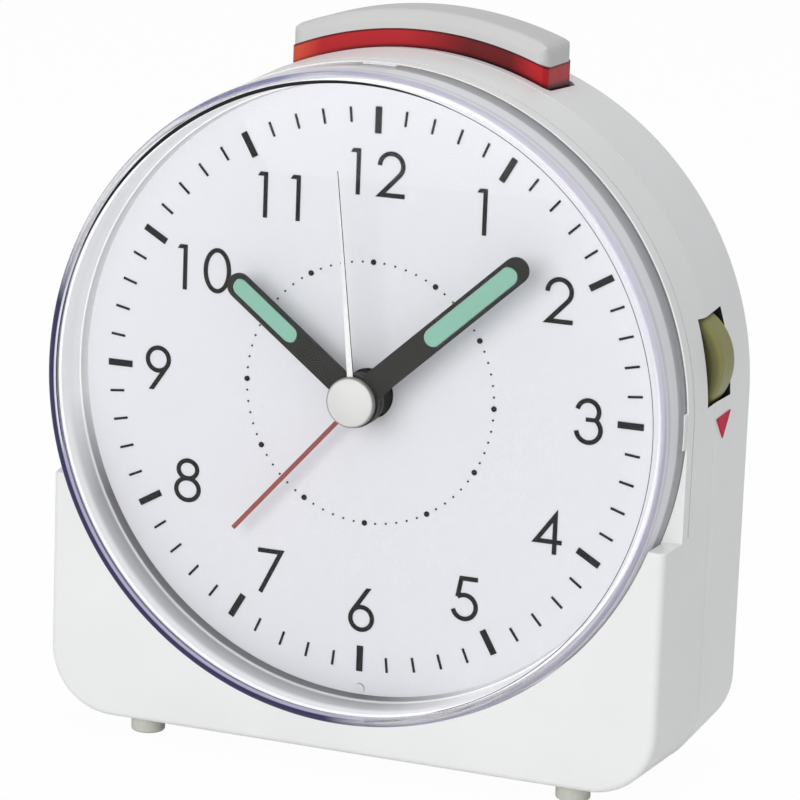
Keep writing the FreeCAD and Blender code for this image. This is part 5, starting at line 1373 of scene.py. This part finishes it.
class CLOCK_OT_inner(bpy.types.Operator):
    """Finishes for the mark and the pieces inside the case"""

    bl_idname = "clock.inner"
    bl_label = "Inner finishes"

    def execute(self, context):
        for name, nodes in INNER.items():
            for node in nodes:
                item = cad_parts[node]
                item.data.materials.clear()
                item.data.materials.append(material(name))
        return {"FINISHED"}


# Stage

class CLOCK_OT_stage(bpy.types.Operator):
    """Floor, soft lamps, world and camera"""

    bl_idname = "clock.stage"
    bl_label = "Stage"

    def execute(self, context):
        leave_all()
        bpy.ops.mesh.primitive_plane_add(size=6, location=(0, 0, 0))
        floor = bpy.context.object
        floor.name = "stage_floor"
        look = Finish("Stage floor", (0.9, 0.9, 0.9), 0.8)
        glow = look.node("ShaderNodeEmission")
        white = look.mix(look.sight(0.97, 0.3), look.shader.outputs["BSDF"], glow.outputs["Emission"])
        look.surface(white)
        floor.data.materials.append(look.material)

        world = bpy.data.worlds.new("Soft studio")
        bpy.context.scene.world = world
        world.use_nodes = True
        sky = Nodes(world.node_tree)
        soft = sky.tree.nodes["Background"]
        soft.inputs["Color"].default_value = (0.96, 0.98, 1.0, 1)
        soft.inputs["Strength"].default_value = 0.42
        plain = sky.node("ShaderNodeBackground")
        plain.inputs["Color"].default_value = (1, 1, 1, 1)
        seen = sky.mix(sky.sight(1.0, 0.25), soft.outputs["Background"], plain.outputs["Background"])
        sky.surface(seen, "World Output")

        lamps = (
            ("key_lamp", (-0.14, -1.13, 0.28), 1.0, 8.2),
            ("fill_lamp", (0.90, -0.25, 0.35), 0.7, 0.5),
            ("top_lamp", (0.05, 0.10, 0.90), 0.7, 2.6),
        )
        target = Vector((0, 0, DIAL_Z))
        for name, spot, width, power in lamps:
            leave_all()
            bpy.ops.object.light_add(type="AREA", location=spot)
            lamp = bpy.context.object
            lamp.name = name
            lamp.data.shape = "DISK"
            lamp.data.size = width
            lamp.data.energy = power
            lamp.rotation_mode = "QUATERNION"
            lamp.rotation_quaternion = (target - Vector(spot)).to_track_quat("-Z", "Y")
        self.add_camera()
        bpy.context.scene.view_settings.view_transform = "Standard"
        return {"FINISHED"}

    def add_camera(self):
        """The camera at the photo's angle, distance and small roll."""
        azimuth, elevation, roll = (math.radians(v) for v in (21.51, 12.69, 2.15))
        back = Vector((math.sin(azimuth) * math.cos(elevation),
                       -math.cos(azimuth) * math.cos(elevation), math.sin(elevation)))
        across = Vector((0, 0, 1)).cross(back).normalized()
        upwards = back.cross(across)
        right = across * math.cos(roll) + upwards * math.sin(roll)
        up = upwards * math.cos(roll) - across * math.sin(roll)
        leave_all()
        bpy.ops.object.camera_add()
        camera = bpy.context.object
        camera.name = "photo_camera"
        spot = Vector((0.1803, DIAL_Y - 0.4470, DIAL_Z + 0.1077))
        turn = Matrix((right, up, back)).transposed()
        camera.matrix_world = Matrix.Translation(spot) @ turn.to_4x4()
        camera.data.sensor_width = 36
        camera.data.lens = 3791.4 * 36 / 800
        bpy.context.scene.camera = camera


OPERATORS = (
    CLOCK_OT_stage,
    CLOCK_OT_front_case,
    CLOCK_OT_rear_case,
    CLOCK_OT_lens,
    CLOCK_OT_ring,
    CLOCK_OT_dial,
    CLOCK_OT_figures,
    CLOCK_OT_broad_hands,
    CLOCK_OT_thin_hands,
    CLOCK_OT_snooze,
    CLOCK_OT_wheel,
    CLOCK_OT_feet,
    CLOCK_OT_rear_controls,
    CLOCK_OT_inner,
)


class CLOCK_PT_panel(bpy.types.Panel):
    """Lists the steps that build the clock"""

    bl_idname = "CLOCK_PT_panel"
    bl_label = "Alarm clock"
    bl_space_type = "VIEW_3D"
    bl_region_type = "UI"
    bl_category = "Clock"

    def draw(self, context):
        for step in OPERATORS:
            self.layout.operator(step.bl_idname)


CLASSES = (ClockSizes, ClockColours, *OPERATORS, CLOCK_PT_panel)


def register():
    for item in CLASSES:
        bpy.utils.register_class(item)
    bpy.types.Scene.clock_sizes = bpy.props.PointerProperty(type=ClockSizes)
    bpy.types.Scene.clock_colours = bpy.props.PointerProperty(type=ClockColours)


def unregister():
    del bpy.types.Scene.clock_colours
    del bpy.types.Scene.clock_sizes
    for item in reversed(CLASSES):
        bpy.utils.unregister_class(item)


def main():
    register()
    for step in OPERATORS:
        group, name = step.bl_idname.split(".")
        getattr(getattr(bpy.ops, group), name)()


if __name__ == "__main__":
    main()
